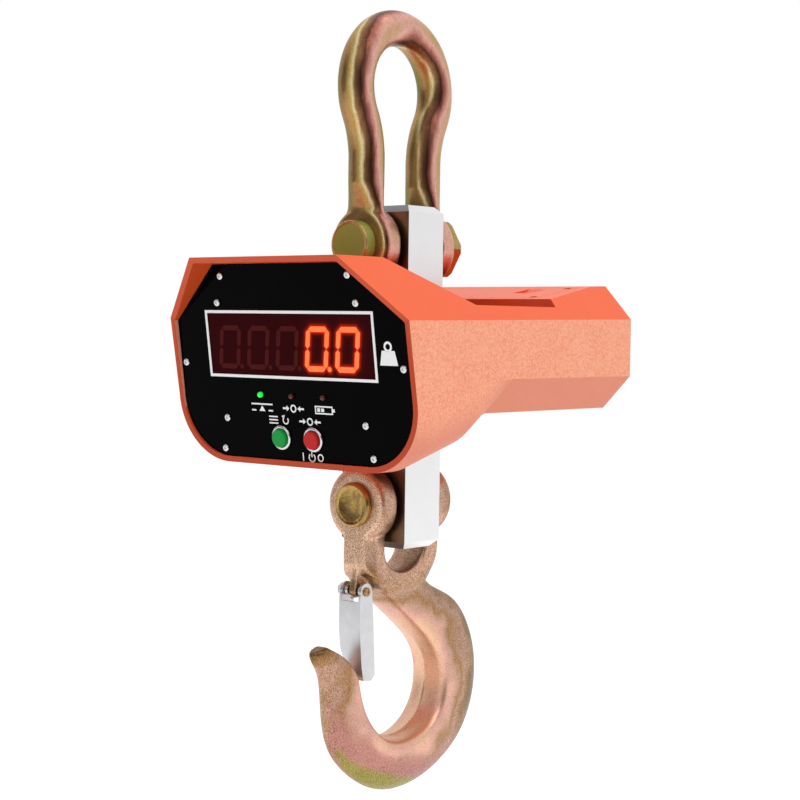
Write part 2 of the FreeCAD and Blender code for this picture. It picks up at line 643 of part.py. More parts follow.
def charge_socket():
    spot = (60.0, REAR_COVER_Y, DATUM_Z - 45.0)
    barrel = rod((spot[0], REAR_COVER_Y - 12.0, spot[2]), Y_AXIS, 12.0 + REAR_COVER_T, 4.0)
    lip = rod((spot[0], REAR_COVER_Y + REAR_COVER_T, spot[2]), Y_AXIS, 1.6, 5.5)
    body = rod((spot[0], REAR_COVER_Y - 12.0, spot[2]), Y_AXIS, 9.0, 5.0)
    mouth = rod((spot[0], REAR_COVER_Y - 5.0, spot[2]), Y_AXIS, 20.0, 2.8)
    pin = rod((spot[0], REAR_COVER_Y - 5.0, spot[2]), Y_AXIS, 8.0, 1.0)
    return fuse([fuse([barrel, lip, body]).cut(mouth), pin])


def socket_nut():
    z = DATUM_Z - 45.0
    nut = hexagon(13.0, (60.0, REAR_COVER_Y - 2.5, z), Y_AXIS, 2.5)
    return nut.cut(rod((60.0, REAR_COVER_Y - 5.0, z), Y_AXIS, 10, 4.0))


def lead(points, radius, bend):
    """Round lead through the given points, with arcs of one bend radius at its corners."""
    edges = []
    at = Vector(*points[0])
    for index in range(1, len(points) - 1):
        corner = Vector(*points[index])
        before = (Vector(*points[index - 1]) - corner).normalize()
        after = (Vector(*points[index + 1]) - corner).normalize()
        half = before.getAngle(after) / 2.0
        reach = bend / math.tan(half)
        start = corner + before * reach
        end = corner + after * reach
        centre = corner + (before + after).normalize() * (bend / math.sin(half))
        middle = centre + (corner - centre).normalize() * bend
        edges.append(Part.LineSegment(at, start).toShape())
        edges.append(Part.Arc(start, middle, end).toShape())
        at = end
    edges.append(Part.LineSegment(at, Vector(*points[-1])).toShape())
    first = Vector(*points[0])
    along = (Vector(*points[1]) - first).normalize()
    profile = Part.Wire([Part.Circle(first, along, radius).toShape()])
    return Part.Wire(edges).makePipeShell([profile], True, False)


def cell_lead():
    """Screened lead from the front gauge cover to the main board's frame side."""
    return lead([(0, -BAR_Y - 1.2, GAUGE_Z), (0, -BAR_Y - 8.0, GAUGE_Z), (0, -BAR_Y - 8.0, GAUGE_Z - 16.0),
                 (0, BOARD_Y + 11.6, GAUGE_Z - 16.0)], 1.4, 4.0)


# ---------------------------------------------------------------- hook
HOOK_STATIONS = [
    # inner Y, Z; outer Y, Z; half width; height of the ridge along the inner face
    (-26.0, -198.0, 30.0, -198.0, 14.4, 0.0),
    (-17.0, -213.5, 42.0, -208.0, 14.2, 0.4),
    (-2.0, -226.0, 59.0, -216.5, 14.1, 1.2),
    (13.5, -238.5, 78.0, -227.5, 14.3, 2.2),
    (27.5, -250.5, 91.5, -244.5, 15.0, 3.0),
    (38.0, -264.0, 98.8, -264.5, 16.2, 3.5),
    (42.2, -280.0, 99.6, -287.5, 17.3, 3.8),
    (39.5, -295.0, 93.5, -310.5, 17.8, 4.0),
    (31.5, -306.5, 79.0, -331.5, 17.8, 4.0),
    (19.5, -314.0, 55.0, -348.0, 17.8, 4.0),
    (4.5, -317.3, 22.5, -358.2, 17.5, 4.0),
    (-11.5, -315.0, -11.5, -356.8, 17.2, 4.0),
    (-26.0, -305.5, -41.5, -342.0, 16.2, 3.6),
    (-36.0, -291.0, -63.8, -318.5, 14.5, 3.2),
    (-40.5, -276.0, -71.0, -290.5, 13.0, 2.8),
    (-44.5, -263.5, -74.3, -268.5, 11.5, 2.2),
    (-53.5, -253.5, -78.5, -259.0, 9.8, 1.5),
    (-64.0, -247.0, -83.5, -252.0, 8.0, 0.8),
    (-72.5, -242.6, -84.5, -246.2, 5.6, 0.3),
]


def hook_section(station):
    """Forged section: ridged inner face, widest just behind it, narrowing to a rounded back."""
    inner_y, inner_z, outer_y, outer_z, half, ridge = station
    inner = Vector(0, inner_y, DATUM_Z + inner_z)
    outer = Vector(0, outer_y, DATUM_Z + outer_z)
    deep = (outer - inner).Length
    back = (outer - inner).normalize()
    shape = [(0.0, 0.0), (ridge * 0.6 + deep * 0.01, 0.5), (ridge + deep * 0.05, 0.93), (deep * 0.25, 1.0),
             (deep * 0.55, 0.90), (deep * 0.82, 0.62), (deep * 0.96, 0.28), (deep, 0.0)]
    right = [inner + back * depth + X_AXIS * (half * wide) for depth, wide in shape]
    left = [inner + back * depth - X_AXIS * (half * wide) for depth, wide in shape[-2:0:-1]]
    curve = Part.BSplineCurve()
    curve.interpolate(right + left + right[:1])
    return Part.Wire([curve.toShape()])


SLOT_DEEP = 30.0            # straight part of the fork's slot, below the pin's axis
SLOT_BOWL = 20.5            # depth of its rounded foot, which the bar's corners swing through


def fork():
    low = LOWER_PIN_Z
    sides = [(-EAR_OUT, low), (-EAR_OUT, low - 44.0), (-36.0, low - 50.5), (-28.5, low - 56.0),
             (-25.5, low - 62.0), (24.0, low - 62.0), (31.0, low - 54.0), (37.5, low - 45.0),
             (41.0, low - 36.0), (42.0, low - 25.0), (42.0, low)]
    block = prism_x(sides, -15.5, 15.5)
    plan = [(-9.0, -EAR_OUT - 1), (-15.5, -EAR_OUT + 7.5), (-15.5, 36.0), (-11.0, 42.5),
            (11.0, 42.5), (15.5, 36.0), (15.5, -EAR_OUT + 7.5), (9.0, -EAR_OUT - 1)]
    block = block.common(prism_z(plan, low - 70.0, low + 5.0))
    ears = []
    for side in (-1, 1):
        disc = ear(side, EAR_R)
        disc.translate(Vector(0, 0, low))
        ears.append(disc)
    slot_z = low - SLOT_DEEP
    bowl = Part.Ellipse(Vector(-60, 0, slot_z), EAR_IN, SLOT_BOWL)
    bowl.rotate(Placement(Vector(-60, 0, slot_z), Rotation(Vector(1, 1, 1), 120)))
    slot = Part.Face(Part.Wire([bowl.toShape()])).extrude(Vector(120, 0, 0))
    slot = slot.fuse(box(-60, 60, -EAR_IN, EAR_IN, slot_z, low + 60))
    front_face = rod((0, -EAR_OUT, low), Y_AXIS * -1, 10.0, 18.0)
    rear_face = rod((0, EAR_OUT, low), Y_AXIS, 10.0, 19.5)
    return cut(fuse([block] + ears), [slot, front_face, rear_face])


def latch_lug():
    y, z = LATCH_PIVOT
    web = [(-EAR_OUT + 1, LOWER_PIN_Z - 40.0), (-EAR_OUT + 0.3, z + 8.0), (y - 4.6, z), (y + 4.0, z - 2.4),
           (-20.0, z - 2.0), (-20.0, LOWER_PIN_Z - 45.0)]
    return fuse([prism_x(web, -3.8, 3.8), rod((-3.8, y, z), X_AXIS, 7.6, 4.6)])


def hook():
    arm = Part.makeLoft([hook_section(station) for station in HOOK_STATIONS], True, False)
    y, z = LATCH_PIVOT
    pin_hole = rod((0, -60, LOWER_PIN_Z), Y_AXIS, 120, PIN_R + 0.02)
    bolt_hole = rod((-10, y, z), X_AXIS, 20, LATCH_BOLT_R)
    return cut(fuse([fork(), arm, latch_lug()]), [pin_hole, bolt_hole])


LOWER_HEAD_Y = -44.9        # outer face of the hook pin's head
LOWER_HEAD_R = 16.2
LOWER_END_Y = 46.5          # far end of the hook pin
WASHER_T = 1.5
WASHER_R = 19.0
CLIP_T = 1.5
CLIP_R = 17.2
GROOVE_Y = EAR_OUT + WASHER_T
GROOVE_R = PIN_R - 1.2


def hook_pin():
    shank = rod((0, -EAR_OUT, LOWER_PIN_Z), Y_AXIS, EAR_OUT + LOWER_END_Y, PIN_R)
    shank = shank.makeChamfer(1.5, round_edges_at(shank, LOWER_END_Y))
    head = rod((0, LOWER_HEAD_Y, LOWER_PIN_Z), Y_AXIS, -LOWER_HEAD_Y - EAR_OUT, LOWER_HEAD_R)
    head = head.makeChamfer(1.6, round_edges_at(head, LOWER_HEAD_Y))
    groove = rod((0, GROOVE_Y, LOWER_PIN_Z), Y_AXIS, CLIP_T + 0.1, PIN_R + 5)
    groove = groove.cut(rod((0, GROOVE_Y, LOWER_PIN_Z), Y_AXIS, CLIP_T + 0.1, GROOVE_R))
    return fuse([shank, head]).cut(groove)


def hook_pin_washer():
    ring = rod((0, EAR_OUT, LOWER_PIN_Z), Y_AXIS, WASHER_T, WASHER_R)
    return ring.cut(rod((0, EAR_OUT - 1, LOWER_PIN_Z), Y_AXIS, WASHER_T + 2, PIN_R))


def hook_pin_clip():
    ring = rod((0, GROOVE_Y, LOWER_PIN_Z), Y_AXIS, CLIP_T, CLIP_R)
    ring = ring.cut(rod((0, EAR_OUT, LOWER_PIN_Z), Y_AXIS, 5, GROOVE_R))
    return ring.cut(box(-4.0, 4.0, EAR_OUT, EAR_OUT + 5, LOWER_PIN_Z - 25.0, LOWER_PIN_Z - 5.0))


# ---------------------------------------------------------------- latch
LATCH_OUTLINE = [(-44.2, -214.0), (-44.3, -232.0), (-41.6, -262.0), (-39.4, -271.0), (-31.0, -272.0),
                 (-27.0, -268.0), (-29.5, -225.0), (-31.4, -206.5)]

LATCH_TAPER = [(-12.0, -236.0), (-9.4, -250.0), (-5.0, -262.0), (0.5, -272.5), (0.5, -285.0), (-20.0, -285.0),
               (-20.0, -236.0)]


def latch():
    """Pressed channel: web towards the hook's mouth, a flange each side, round ears at the pivot."""
    y, z = LATCH_PIVOT
    outline = [(point[0], DATUM_Z + point[1]) for point in LATCH_OUTLINE]
    outline += [(y + 4.4, z + 4.4), (y - 4.4, z + 4.4), (y - LATCH_EAR_R, z - 1.0)]
    profile = prism_x(outline, -LATCH_HALF, LATCH_HALF)
    ears = rod((-LATCH_HALF, y, z), X_AXIS, 2 * LATCH_HALF, LATCH_EAR_R)
    blank = profile.fuse(ears)
    inner = [(py + LATCH_T, DATUM_Z + pz) for py, pz in LATCH_OUTLINE[:3]]
    inner += [(-38.4 + LATCH_T, DATUM_Z - 290.0), (0.0, DATUM_Z - 290.0), (0.0, DATUM_Z - 190.0),
              (-60.0, DATUM_Z - 190.0), (-60.0, DATUM_Z - 214.0)]
    hollow = prism_x(inner, -LATCH_HALF + LATCH_T, LATCH_HALF - LATCH_T)
    bore = rod((-20, y, z), X_AXIS, 40, LATCH_BOLT_R + 0.06)
    taper = [Vector(x, -80, DATUM_Z + low) for x, low in LATCH_TAPER]
    taper = Part.Face(Part.makePolygon(taper + taper[:1])).extrude(Vector(0, 80, 0))
    return cut(blank, [hollow, bore, taper]).removeSplitter()


def latch_bolt():
    y, z = LATCH_PIVOT
    start = (LATCH_HALF + 0.2, y, z)
    return pan_screw(start, X_AXIS, 24.5, LATCH_BOLT_R, 3.3, 1.4)


def latch_nut():
    y, z = LATCH_PIVOT
    nut = hexagon(8.0, (-LATCH_HALF - 0.2, y, z), X_AXIS * -1, 4.0)
    return nut.cut(rod((-20, y, z), X_AXIS, 40, LATCH_BOLT_R))


def latch_spring():
    """Torsion spring: two coils each side of the lug, one leg on the web and one on the shank."""
    y, z = LATCH_PIVOT
    wire = 0.6
    coils = []
    for side in (-1, 1):
        helix = Part.makeHelix(1.4, 2.8, 3.5)
        start = Vector(3.5, 0, 0)
        profile = Part.Wire([Part.Circle(start, Y_AXIS, wire).toShape()])
        coil = Part.Wire(helix.Edges).makePipeShell([profile], True, False)
        leg = rod((3.5, 0, 0), Vector(0, 1, 0) * -1, 12.0, wire)
        both = coil.fuse(leg)
        both.Placement = Placement(Vector(side * 4.6, y, z), Rotation(Z_AXIS, X_AXIS * side))
        coils.append(both)
    return group(coils)


# ---------------------------------------------------------------- every node
NODES = {
    "shackle_bow": shackle_bow,
    "shackle_pin": shackle_pin,
    "shackle_nut": shackle_nut,
    "load_cell_bar": load_cell_bar,
    "gauge_covers": gauge_covers,
    "bar_brackets": bar_brackets,
    "bracket_bolts": bracket_bolts,
    "saddle_screws": saddle_screws,
    "bar_seals": bar_seals,
    "housing_shell": housing_shell,
    "rear_cover": rear_cover,
    "rear_cover_screws": rear_cover_screws,
    "battery_cover": battery_cover,
    "battery_cover_screws": battery_cover_screws,
    "face_gasket": face_gasket,
    "faceplate": faceplate,
    "faceplate_screws": faceplate_screws,
    "window_lens": window_lens,
    "window_trim": window_trim,
    "display_board": display_board,
    "digit_modules": digit_modules,
    "board_standoffs": board_standoffs,
    "indicator_green": lambda: lamp(*LAMPS[0]),
    "indicators_red": lambda: group([lamp(*spot) for spot in LAMPS[1:]]),
    "button_bezels": button_bezels,
    "button_cap_green": lambda: button_cap("green"),
    "button_cap_red": lambda: button_cap("red"),
    "button_switches": button_switches,
    "main_board": main_board,
    "main_board_frame": main_board_frame,
    "main_board_screws": main_board_screws,
    "cell_lead": cell_lead,
    "battery": battery,
    "battery_tray": battery_tray,
    "battery_strap": battery_strap,
    "charge_socket": charge_socket,
    "socket_nut": socket_nut,
    "hook": hook,
    "hook_pin": hook_pin,
    "hook_pin_washer": hook_pin_washer,
    "hook_pin_clip": hook_pin_clip,
    "latch": latch,
    "latch_bolt": latch_bolt,
    "latch_nut": latch_nut,
    "latch_spring": latch_spring,
}

os.makedirs("parts", exist_ok=True)
for name, make in NODES.items():
    shape = make()
    shape.exportStep(os.path.join("parts", name + ".step"))
    size = shape.BoundBox
    print("%-22s solids %2d valid %s volume %9.0f  x %.1f..%.1f y %.1f..%.1f z %.1f..%.1f" % (
        name, len(shape.Solids), shape.isValid(), shape.Volume, size.XMin, size.XMax,
        size.YMin, size.YMax, size.ZMin, size.ZMax))
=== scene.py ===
import json
import math

import bmesh
import bpy
from mathutils import Matrix, Vector, noise


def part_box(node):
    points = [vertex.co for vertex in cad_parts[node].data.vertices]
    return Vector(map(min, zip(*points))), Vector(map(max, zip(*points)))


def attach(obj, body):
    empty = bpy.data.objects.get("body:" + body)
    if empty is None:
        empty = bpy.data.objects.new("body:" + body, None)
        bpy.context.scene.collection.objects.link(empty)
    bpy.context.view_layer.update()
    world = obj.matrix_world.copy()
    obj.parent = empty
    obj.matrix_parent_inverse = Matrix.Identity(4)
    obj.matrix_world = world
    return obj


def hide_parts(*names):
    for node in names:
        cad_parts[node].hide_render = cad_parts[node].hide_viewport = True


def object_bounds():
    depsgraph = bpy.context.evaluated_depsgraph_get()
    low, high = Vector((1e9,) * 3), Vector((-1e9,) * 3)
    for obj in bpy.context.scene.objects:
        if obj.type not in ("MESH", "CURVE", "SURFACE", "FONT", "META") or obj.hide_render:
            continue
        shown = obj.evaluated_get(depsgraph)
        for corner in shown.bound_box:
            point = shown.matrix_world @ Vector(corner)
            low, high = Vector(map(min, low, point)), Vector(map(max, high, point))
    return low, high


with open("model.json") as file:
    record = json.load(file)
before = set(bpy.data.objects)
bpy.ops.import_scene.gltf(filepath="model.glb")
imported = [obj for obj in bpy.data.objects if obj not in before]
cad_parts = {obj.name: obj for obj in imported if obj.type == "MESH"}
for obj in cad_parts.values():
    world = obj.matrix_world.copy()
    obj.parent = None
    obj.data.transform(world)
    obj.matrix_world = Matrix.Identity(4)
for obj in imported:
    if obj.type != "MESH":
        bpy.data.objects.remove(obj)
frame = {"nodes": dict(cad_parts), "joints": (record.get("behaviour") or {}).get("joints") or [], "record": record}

CAD_BOX = [list(corner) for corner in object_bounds()]
NODES = frame["nodes"]
BODY_OF = {node: body for body, nodes in frame["record"]["behaviour"]["bodies"].items() for node in nodes}
SLOT_OF = {part["node"]: part["material_slot"] for part in frame["record"]["subparts"]}
MM = 0.001


# ---------------------------------------------------------------- camera
CAMERA_SPOT = Vector((0.82515, -0.98332, -0.20255))
CAMERA_YAW = 39.74          # degrees to the right of the display's normal
CAMERA_PITCH = 2.42         # degrees below the horizon
CAMERA_ROLL = 0.80
CAMERA_LENS = 78.84         # mm, on a 36 mm sensor


def add_camera():
    yaw, pitch, roll = (math.radians(a) for a in (CAMERA_YAW, CAMERA_PITCH, CAMERA_ROLL))
    ahead = Vector((-math.sin(yaw) * math.cos(pitch), math.cos(yaw) * math.cos(pitch), -math.sin(pitch)))
    level = Vector((math.cos(yaw), math.sin(yaw), 0.0))
    upright = level.cross(ahead)
    right = level * math.cos(roll) + upright * math.sin(roll)
    up = upright * math.cos(roll) - level * math.sin(roll)
    camera = bpy.data.objects.new("camera", bpy.data.cameras.new("camera"))
    bpy.context.scene.collection.objects.link(camera)
    camera.data.lens = CAMERA_LENS
    camera.data.sensor_width = 36.0
    camera.data.clip_start = 0.05
    camera.data.clip_end = 60.0
    camera.matrix_world = Matrix((
        (right.x, up.x, -ahead.x, CAMERA_SPOT.x),
        (right.y, up.y, -ahead.y, CAMERA_SPOT.y),
        (right.z, up.z, -ahead.z, CAMERA_SPOT.z),
        (0.0, 0.0, 0.0, 1.0)))
    bpy.context.scene.camera = camera


# ---------------------------------------------------------------- node helpers
class Nodes:
    """Builds one node tree with short calls. Sizes are in millimetres."""

    def __init__(self, tree):
        self.tree = tree

    def add(self, kind, **settings):
        node = self.tree.nodes.new("ShaderNode" + kind)
        for key, value in settings.items():
            setattr(node, key, value)
        return node

    def plug(self, value, socket):
        if isinstance(value, bpy.types.NodeSocket):
            self.tree.links.new(value, socket)
        else:
            socket.default_value = value

    def math(self, operation, first, second=0.0, clamp=False):
        node = self.add("Math", operation=operation, use_clamp=clamp)
        self.plug(first, node.inputs[0])
        self.plug(second, node.inputs[1])
        return node.outputs[0]

    def remap(self, value, low, high, to_low=0.0, to_high=1.0, smooth=True):
        node = self.add("MapRange", interpolation_type="SMOOTHSTEP" if smooth else "LINEAR")
        for socket, entry in zip(node.inputs, (value, low, high, to_low, to_high)):
            self.plug(entry, socket)
        return node.outputs[0]

    def place(self, stretch=(1.0, 1.0, 1.0)):
        """Place on the object in millimetres, squeezed along each axis."""
        spot = self.add("TexCoord").outputs["Object"]
        node = self.add("VectorMath", operation="MULTIPLY")
        self.plug(spot, node.inputs[0])
        node.inputs[1].default_value = [1000.0 / part for part in stretch]
        return node.outputs[0]

    def noise(self, size, detail=3.0, rough=0.55, bend=0.0, stretch=(1.0, 1.0, 1.0)):
        node = self.add("TexNoise")
        self.plug(self.place(stretch), node.inputs["Vector"])
        node.inputs["Scale"].default_value = 1.0 / size
        node.inputs["Detail"].default_value = detail
        node.inputs["Roughness"].default_value = rough
        node.inputs["Distortion"].default_value = bend
        return node.outputs["Fac"]

    def cells(self, size, feature="F1"):
        node = self.add("TexVoronoi", feature=feature)
        self.plug(self.place(), node.inputs["Vector"])
        node.inputs["Scale"].default_value = 1.0 / size
        return node.outputs["Distance"]

    def along(self, axis):
        """Millimetres along one axis of the object: 0, 1 or 2 for X, Y or Z."""
        split = self.add("SeparateXYZ")
        self.plug(self.place(), split.inputs[0])
        return split.outputs[axis]

    def around(self, y, z):
        """Distance in millimetres from the line along X through (y, z)."""
        across = self.math("SUBTRACT", self.along(1), y)
        upward = self.math("SUBTRACT", self.along(2), z)
        return self.math("SQRT", self.math("ADD", self.math("MULTIPLY", across, across),
                                           self.math("MULTIPLY", upward, upward)))

    def facing(self, direction):
        """How far the surface faces a fixed direction of the object, -1 to 1."""
        node = self.add("VectorMath", operation="DOT_PRODUCT")
        self.plug(self.add("TexCoord").outputs["Normal"], node.inputs[0])
        node.inputs[1].default_value = Vector(direction).normalized()
        return node.outputs["Value"]

    def ramp(self, value, stops):
        node = self.add("ValToRGB")
        elements = node.color_ramp.elements
        elements[0].position = stops[0][0]
        elements[-1].position = stops[-1][0]
        for place, colour in stops[1:-1]:
            elements.new(place)
        for element, (place, colour) in zip(elements, stops):
            element.color = (*colour, 1.0)
        self.plug(value, node.inputs[0])
        return node.outputs[0]

    def mix(self, amount, first, second, blend="MIX"):
        node = self.add("Mix", data_type="RGBA", blend_type=blend)
        self.plug(amount, node.inputs[0])
        for value, socket in ((first, node.inputs[6]), (second, node.inputs[7])):
            self.plug((*value, 1.0) if isinstance(value, tuple) and len(value) == 3 else value, socket)
        return node.outputs[2]

    def grey(self, value):
        """A plain grey of the given brightness, 0 to 1."""
        return self.ramp(value, [(0.0, (0, 0, 0)), (1.0, (1, 1, 1))])

    def sway(self, value, amount):
        """A noise's drift about its middle, scaled by amount."""
        return self.math("MULTIPLY", self.math("SUBTRACT", value, 0.5), amount)

    def bump(self, height, depth, below=None):
        """Bump whose full height is depth, in millimetres."""
        node = self.add("Bump")
        node.inputs["Distance"].default_value = depth * MM
        self.plug(height, node.inputs["Height"])
        if below is not None:
            self.plug(below, node.inputs["Normal"])
        return node.outputs["Normal"]


def material(name, build, **constants):
    """Principled material: constants go on its own sockets, build links the rest."""
    made = bpy.data.materials.new(name)
    made.use_nodes = True
    nodes = Nodes(made.node_tree)
    shader = made.node_tree.nodes["Principled BSDF"]
    for key, value in constants.items():
        shader.inputs[key.replace("_", " ")].default_value = value
    for key, value in build(nodes).items():
        nodes.plug(value, shader.inputs[key])
    return made


# ---------------------------------------------------------------- materials
OLIVE = (0.20, 0.185, 0.03)
GOLD = (0.54, 0.37, 0.11)
TAN = (0.50, 0.27, 0.115)
CREAM = (0.82, 0.68, 0.38)
PEACH = (0.90, 0.55, 0.37)
PINK = (0.40, 0.135, 0.10)
SALMON = (0.86, 0.47, 0.38)
CLAY = (0.68, 0.41, 0.29)
UMBER = (0.30, 0.175, 0.07)
BROWN = (0.20, 0.085, 0.045)
DARK = (0.075, 0.030, 0.018)


def chromate(stops, patch, grain, grain_depth, speckle):
    """Chromate film over zinc: its colour drifts with thickness, over a fine forged grain. Faces turned towards +X
    and +Y get a shifted film colour: a painted reflection tint.
    """
    def build(n):
        drift = n.noise(patch, 3.0, 0.5, 0.8, (1.0, 1.0, 1.7))
        # painted reflection tint: the film colour shifts with how far the face turns towards +X and +Y
        painted_reflection_lean = n.math("MULTIPLY", n.facing((0.77, 0.64, 0.1)), 0.16)
        film = n.math("ADD", n.remap(drift, 0.28, 0.72, 0.12, 0.88), painted_reflection_lean, clamp=True)
        fine = n.noise(grain, 4.0, 0.72)
        pits = n.remap(fine, 0.34, 0.60, 1.0 - speckle, 1.0)
        colour = n.mix(1.0, n.ramp(film, stops), n.grey(pits), "MULTIPLY")
        rough = n.remap(fine, 0.3, 0.7, 0.36, 0.20)
        dents = n.noise(6.0, 2.0, 0.5)
        return {"Base Color": colour, "Roughness": rough,
                "Normal": n.bump(fine, grain_depth, n.bump(dents, 0.25))}
    return build


def bow_film(n):
    """Film on the bow: its colour runs in bands along the bar, with a fine grain across them. The bands are chosen
    by the direction the surface faces, so they are mostly painted reflection (cream painted highlights, dark brown
    painted dark reflections), with the film's own drift mixed in.
    """
    streak = n.noise(3.0, 3.0, 0.6, 0.3, (1.0, 1.0, 6.0))
    broad = n.noise(40.0, 2.0)
    # painted reflection: the colour band is chosen by which way the surface faces
    painted_reflection_by_facing = n.remap(n.facing((0.76, 0.62, 0.20)), -1.0, 1.0, smooth=False)
    drift = n.math("ADD", n.sway(streak, 0.10), n.sway(broad, 0.34))
    film_and_reflection_band = n.math("ADD", painted_reflection_by_facing, drift, clamp=True)
    # cream is a painted highlight, and umber to dark is a painted dark reflection; the film's drift shifts them
    colour = n.ramp(film_and_reflection_band, [(0.0, OLIVE), (0.18, TAN), (0.32, GOLD), (0.40, CREAM), (0.47, UMBER),
                           (0.56, BROWN), (0.64, DARK), (0.74, PINK), (0.86, SALMON), (1.0, GOLD)])
    fine = n.noise(0.8, 4.0, 0.75)
    pits = n.grey(n.remap(fine, 0.36, 0.60, 0.62, 1.0))
    return {"Base Color": n.mix(1.0, colour, pits, "MULTIPLY"),
            "Roughness": n.remap(fine, 0.3, 0.7, 0.42, 0.30),
            "Normal": n.bump(fine, 0.05, n.bump(n.noise(7.0, 2.0, 0.5), 0.15))}


BOWL_MIDDLE = (0.0, -463.0)     # Y, Z of the middle of the hook's bowl, mm
BOWL_INNER = 43.0
BOWL_OUTER = 96.0
PRONG_FOOT = (-400.0, -380.0)   # the fork's own film, with a painted highlight on its front faces, fades in over these heights
OLIVE_LOW_TOP = (-462.0, -486.0)    # and the low pink and olive colouring's over these
LOW_FRONT = (0.55, -0.35, -0.75)
FRONT = (0.0, -1.0, 0.0)
DOWN = (0.0, 0.0, -1.0)


def hook_film(n):
    """Film on the hook: peach and pink round the inside of the bowl as a painted highlight, and the film's
    speckled clay and tan outside it, darkening to umber further out as painted shade. The fork's front faces get a
    painted highlight. Low down, faces that face down and forward turn pink, then olive.
    """
    broad = n.noise(30.0, 3.0, 0.5)
    fine = n.noise(0.75, 4.0, 0.8)
    spread = n.sway(broad, 46.0)
    # the zones go by distance from the bowl's middle: peach and salmon round the inside are a painted highlight,
    # umber far out is painted shade, and clay and tan between are the film's own colour
    reach = n.remap(n.math("ADD", n.around(*BOWL_MIDDLE), spread), BOWL_INNER, BOWL_OUTER, smooth=False)
    film_and_painted_light_zones = n.ramp(reach, [(0.0, PEACH), (0.12, SALMON), (0.26, CLAY), (0.38, TAN), (0.52, CLAY),
                           (0.66, TAN), (0.80, UMBER), (1.0, UMBER)])
    # painted highlight: the fork's faces that face the front are painted a lighter peach
    prongs_with_front_highlight = n.mix(n.remap(n.facing(FRONT), 0.6, 0.95),
                   n.ramp(broad, [(0.36, TAN), (0.48, CLAY), (0.62, PEACH)]), (0.92, 0.60, 0.41))
    film_and_painted_light_zones = n.mix(n.remap(n.along(2), *PRONG_FOOT), film_and_painted_light_zones, prongs_with_front_highlight)
    bottom = n.remap(n.along(2), *OLIVE_LOW_TOP)
    # pink, then olive, on low faces that face down and forward
    low_front = n.math("ADD", n.facing(LOW_FRONT), n.math("MULTIPLY", spread, 0.006))
    pink_low_front = n.mix(n.math("MULTIPLY", n.remap(low_front, 0.56, 0.74), bottom), film_and_painted_light_zones, (0.60, 0.28, 0.23))
    olive_low_front = n.mix(n.math("MULTIPLY", n.remap(low_front, 0.82, 0.92), bottom), pink_low_front, (0.44, 0.37, 0.10))
    # more dark speckle further out: the speckle is the film's grain, and its rise outwards adds to the painted
    # shade
    painted_darkening = n.remap(reach, 0.10, 0.62, 0.40, 0.95)
    pits = n.grey(n.remap(fine, 0.40, 0.58, 0.28, 1.0))
    return {"Base Color": n.mix(painted_darkening, olive_low_front, n.mix(1.0, olive_low_front, pits, "MULTIPLY")),
            "Roughness": n.remap(fine, 0.3, 0.7, 0.46, 0.28),
            "Normal": n.bump(fine, 0.08, n.bump(n.noise(6.0, 2.0, 0.5), 0.2))}


def head_film(n):
    """Dull film on the upper pin's head: an even, cloudy olive."""
    cloud = n.noise(14.0, 3.0)
    fine = n.noise(0.5, 3.0, 0.7)
    return {"Base Color": n.mix(cloud, (0.24, 0.29, 0.048), (0.32, 0.365, 0.075)),
            "Roughness": n.remap(fine, 0.3, 0.7, 0.55, 0.42),
            "Normal": n.bump(fine, 0.02)}


def pin_film(n):
    return chromate([(0.0, UMBER), (0.35, GOLD), (0.7, TAN), (1.0, GOLD)], 12.0, 0.6, 0.03, 0.45)(n)


def ground_steel(n):
    """Ground bar: bright flanks, with painted reflections: grey painted on the edges and dark brown painted on the
    narrow faces.
    """
    lines = n.noise(0.5, 3.0, 0.6, 0.0, (1.0, 1.0, 40.0))
    cloud = n.noise(30.0, 2.0)
    bright = n.mix(cloud, (0.80, 0.80, 0.81), (0.86, 0.86, 0.86))
    narrow = n.math("ABSOLUTE", n.facing((0.0, 1.0, 0.0)))
    # painted reflection: faces leaning towards ±Y, the chamfers, are painted grey
    painted_grey_edges = n.mix(n.remap(narrow, 0.25, 0.55), bright, (0.25, 0.25, 0.27))
    # painted dark reflection: the narrow faces, facing ±Y, are painted dark brown
    painted_darkening = n.mix(cloud, (0.16, 0.105, 0.07), (0.26, 0.175, 0.12))
    return {"Base Color": n.mix(n.remap(narrow, 0.86, 0.97), painted_grey_edges, painted_darkening),
            "Roughness": n.remap(lines, 0.3, 0.7, 0.30, 0.36),
            "Normal": n.bump(lines, 0.003)}


def orange_smooth(n):
    cloud = n.noise(40.0, 3.0)
    peel = n.noise(1.6, 2.0, 0.5)
    paint = n.mix(cloud, (0.88, 0.108, 0.018), (0.93, 0.125, 0.024))
    # painted shade: faces that face the front are painted a deeper orange
    painted_front_shade = n.remap(n.facing(FRONT), 0.35, 0.95)
    # painted shade: faces that face down are painted a darker orange
    painted_underside_shade = n.remap(n.facing(DOWN), 0.15, 0.8)
    shaded = n.mix(painted_underside_shade, n.mix(painted_front_shade, paint, (0.50, 0.045, 0.006)), (0.62, 0.075, 0.014))
    return {"Base Color": shaded,
            "Roughness": n.remap(peel, 0.3, 0.7, 0.34, 0.44),
            "Normal": n.bump(peel, 0.03)}


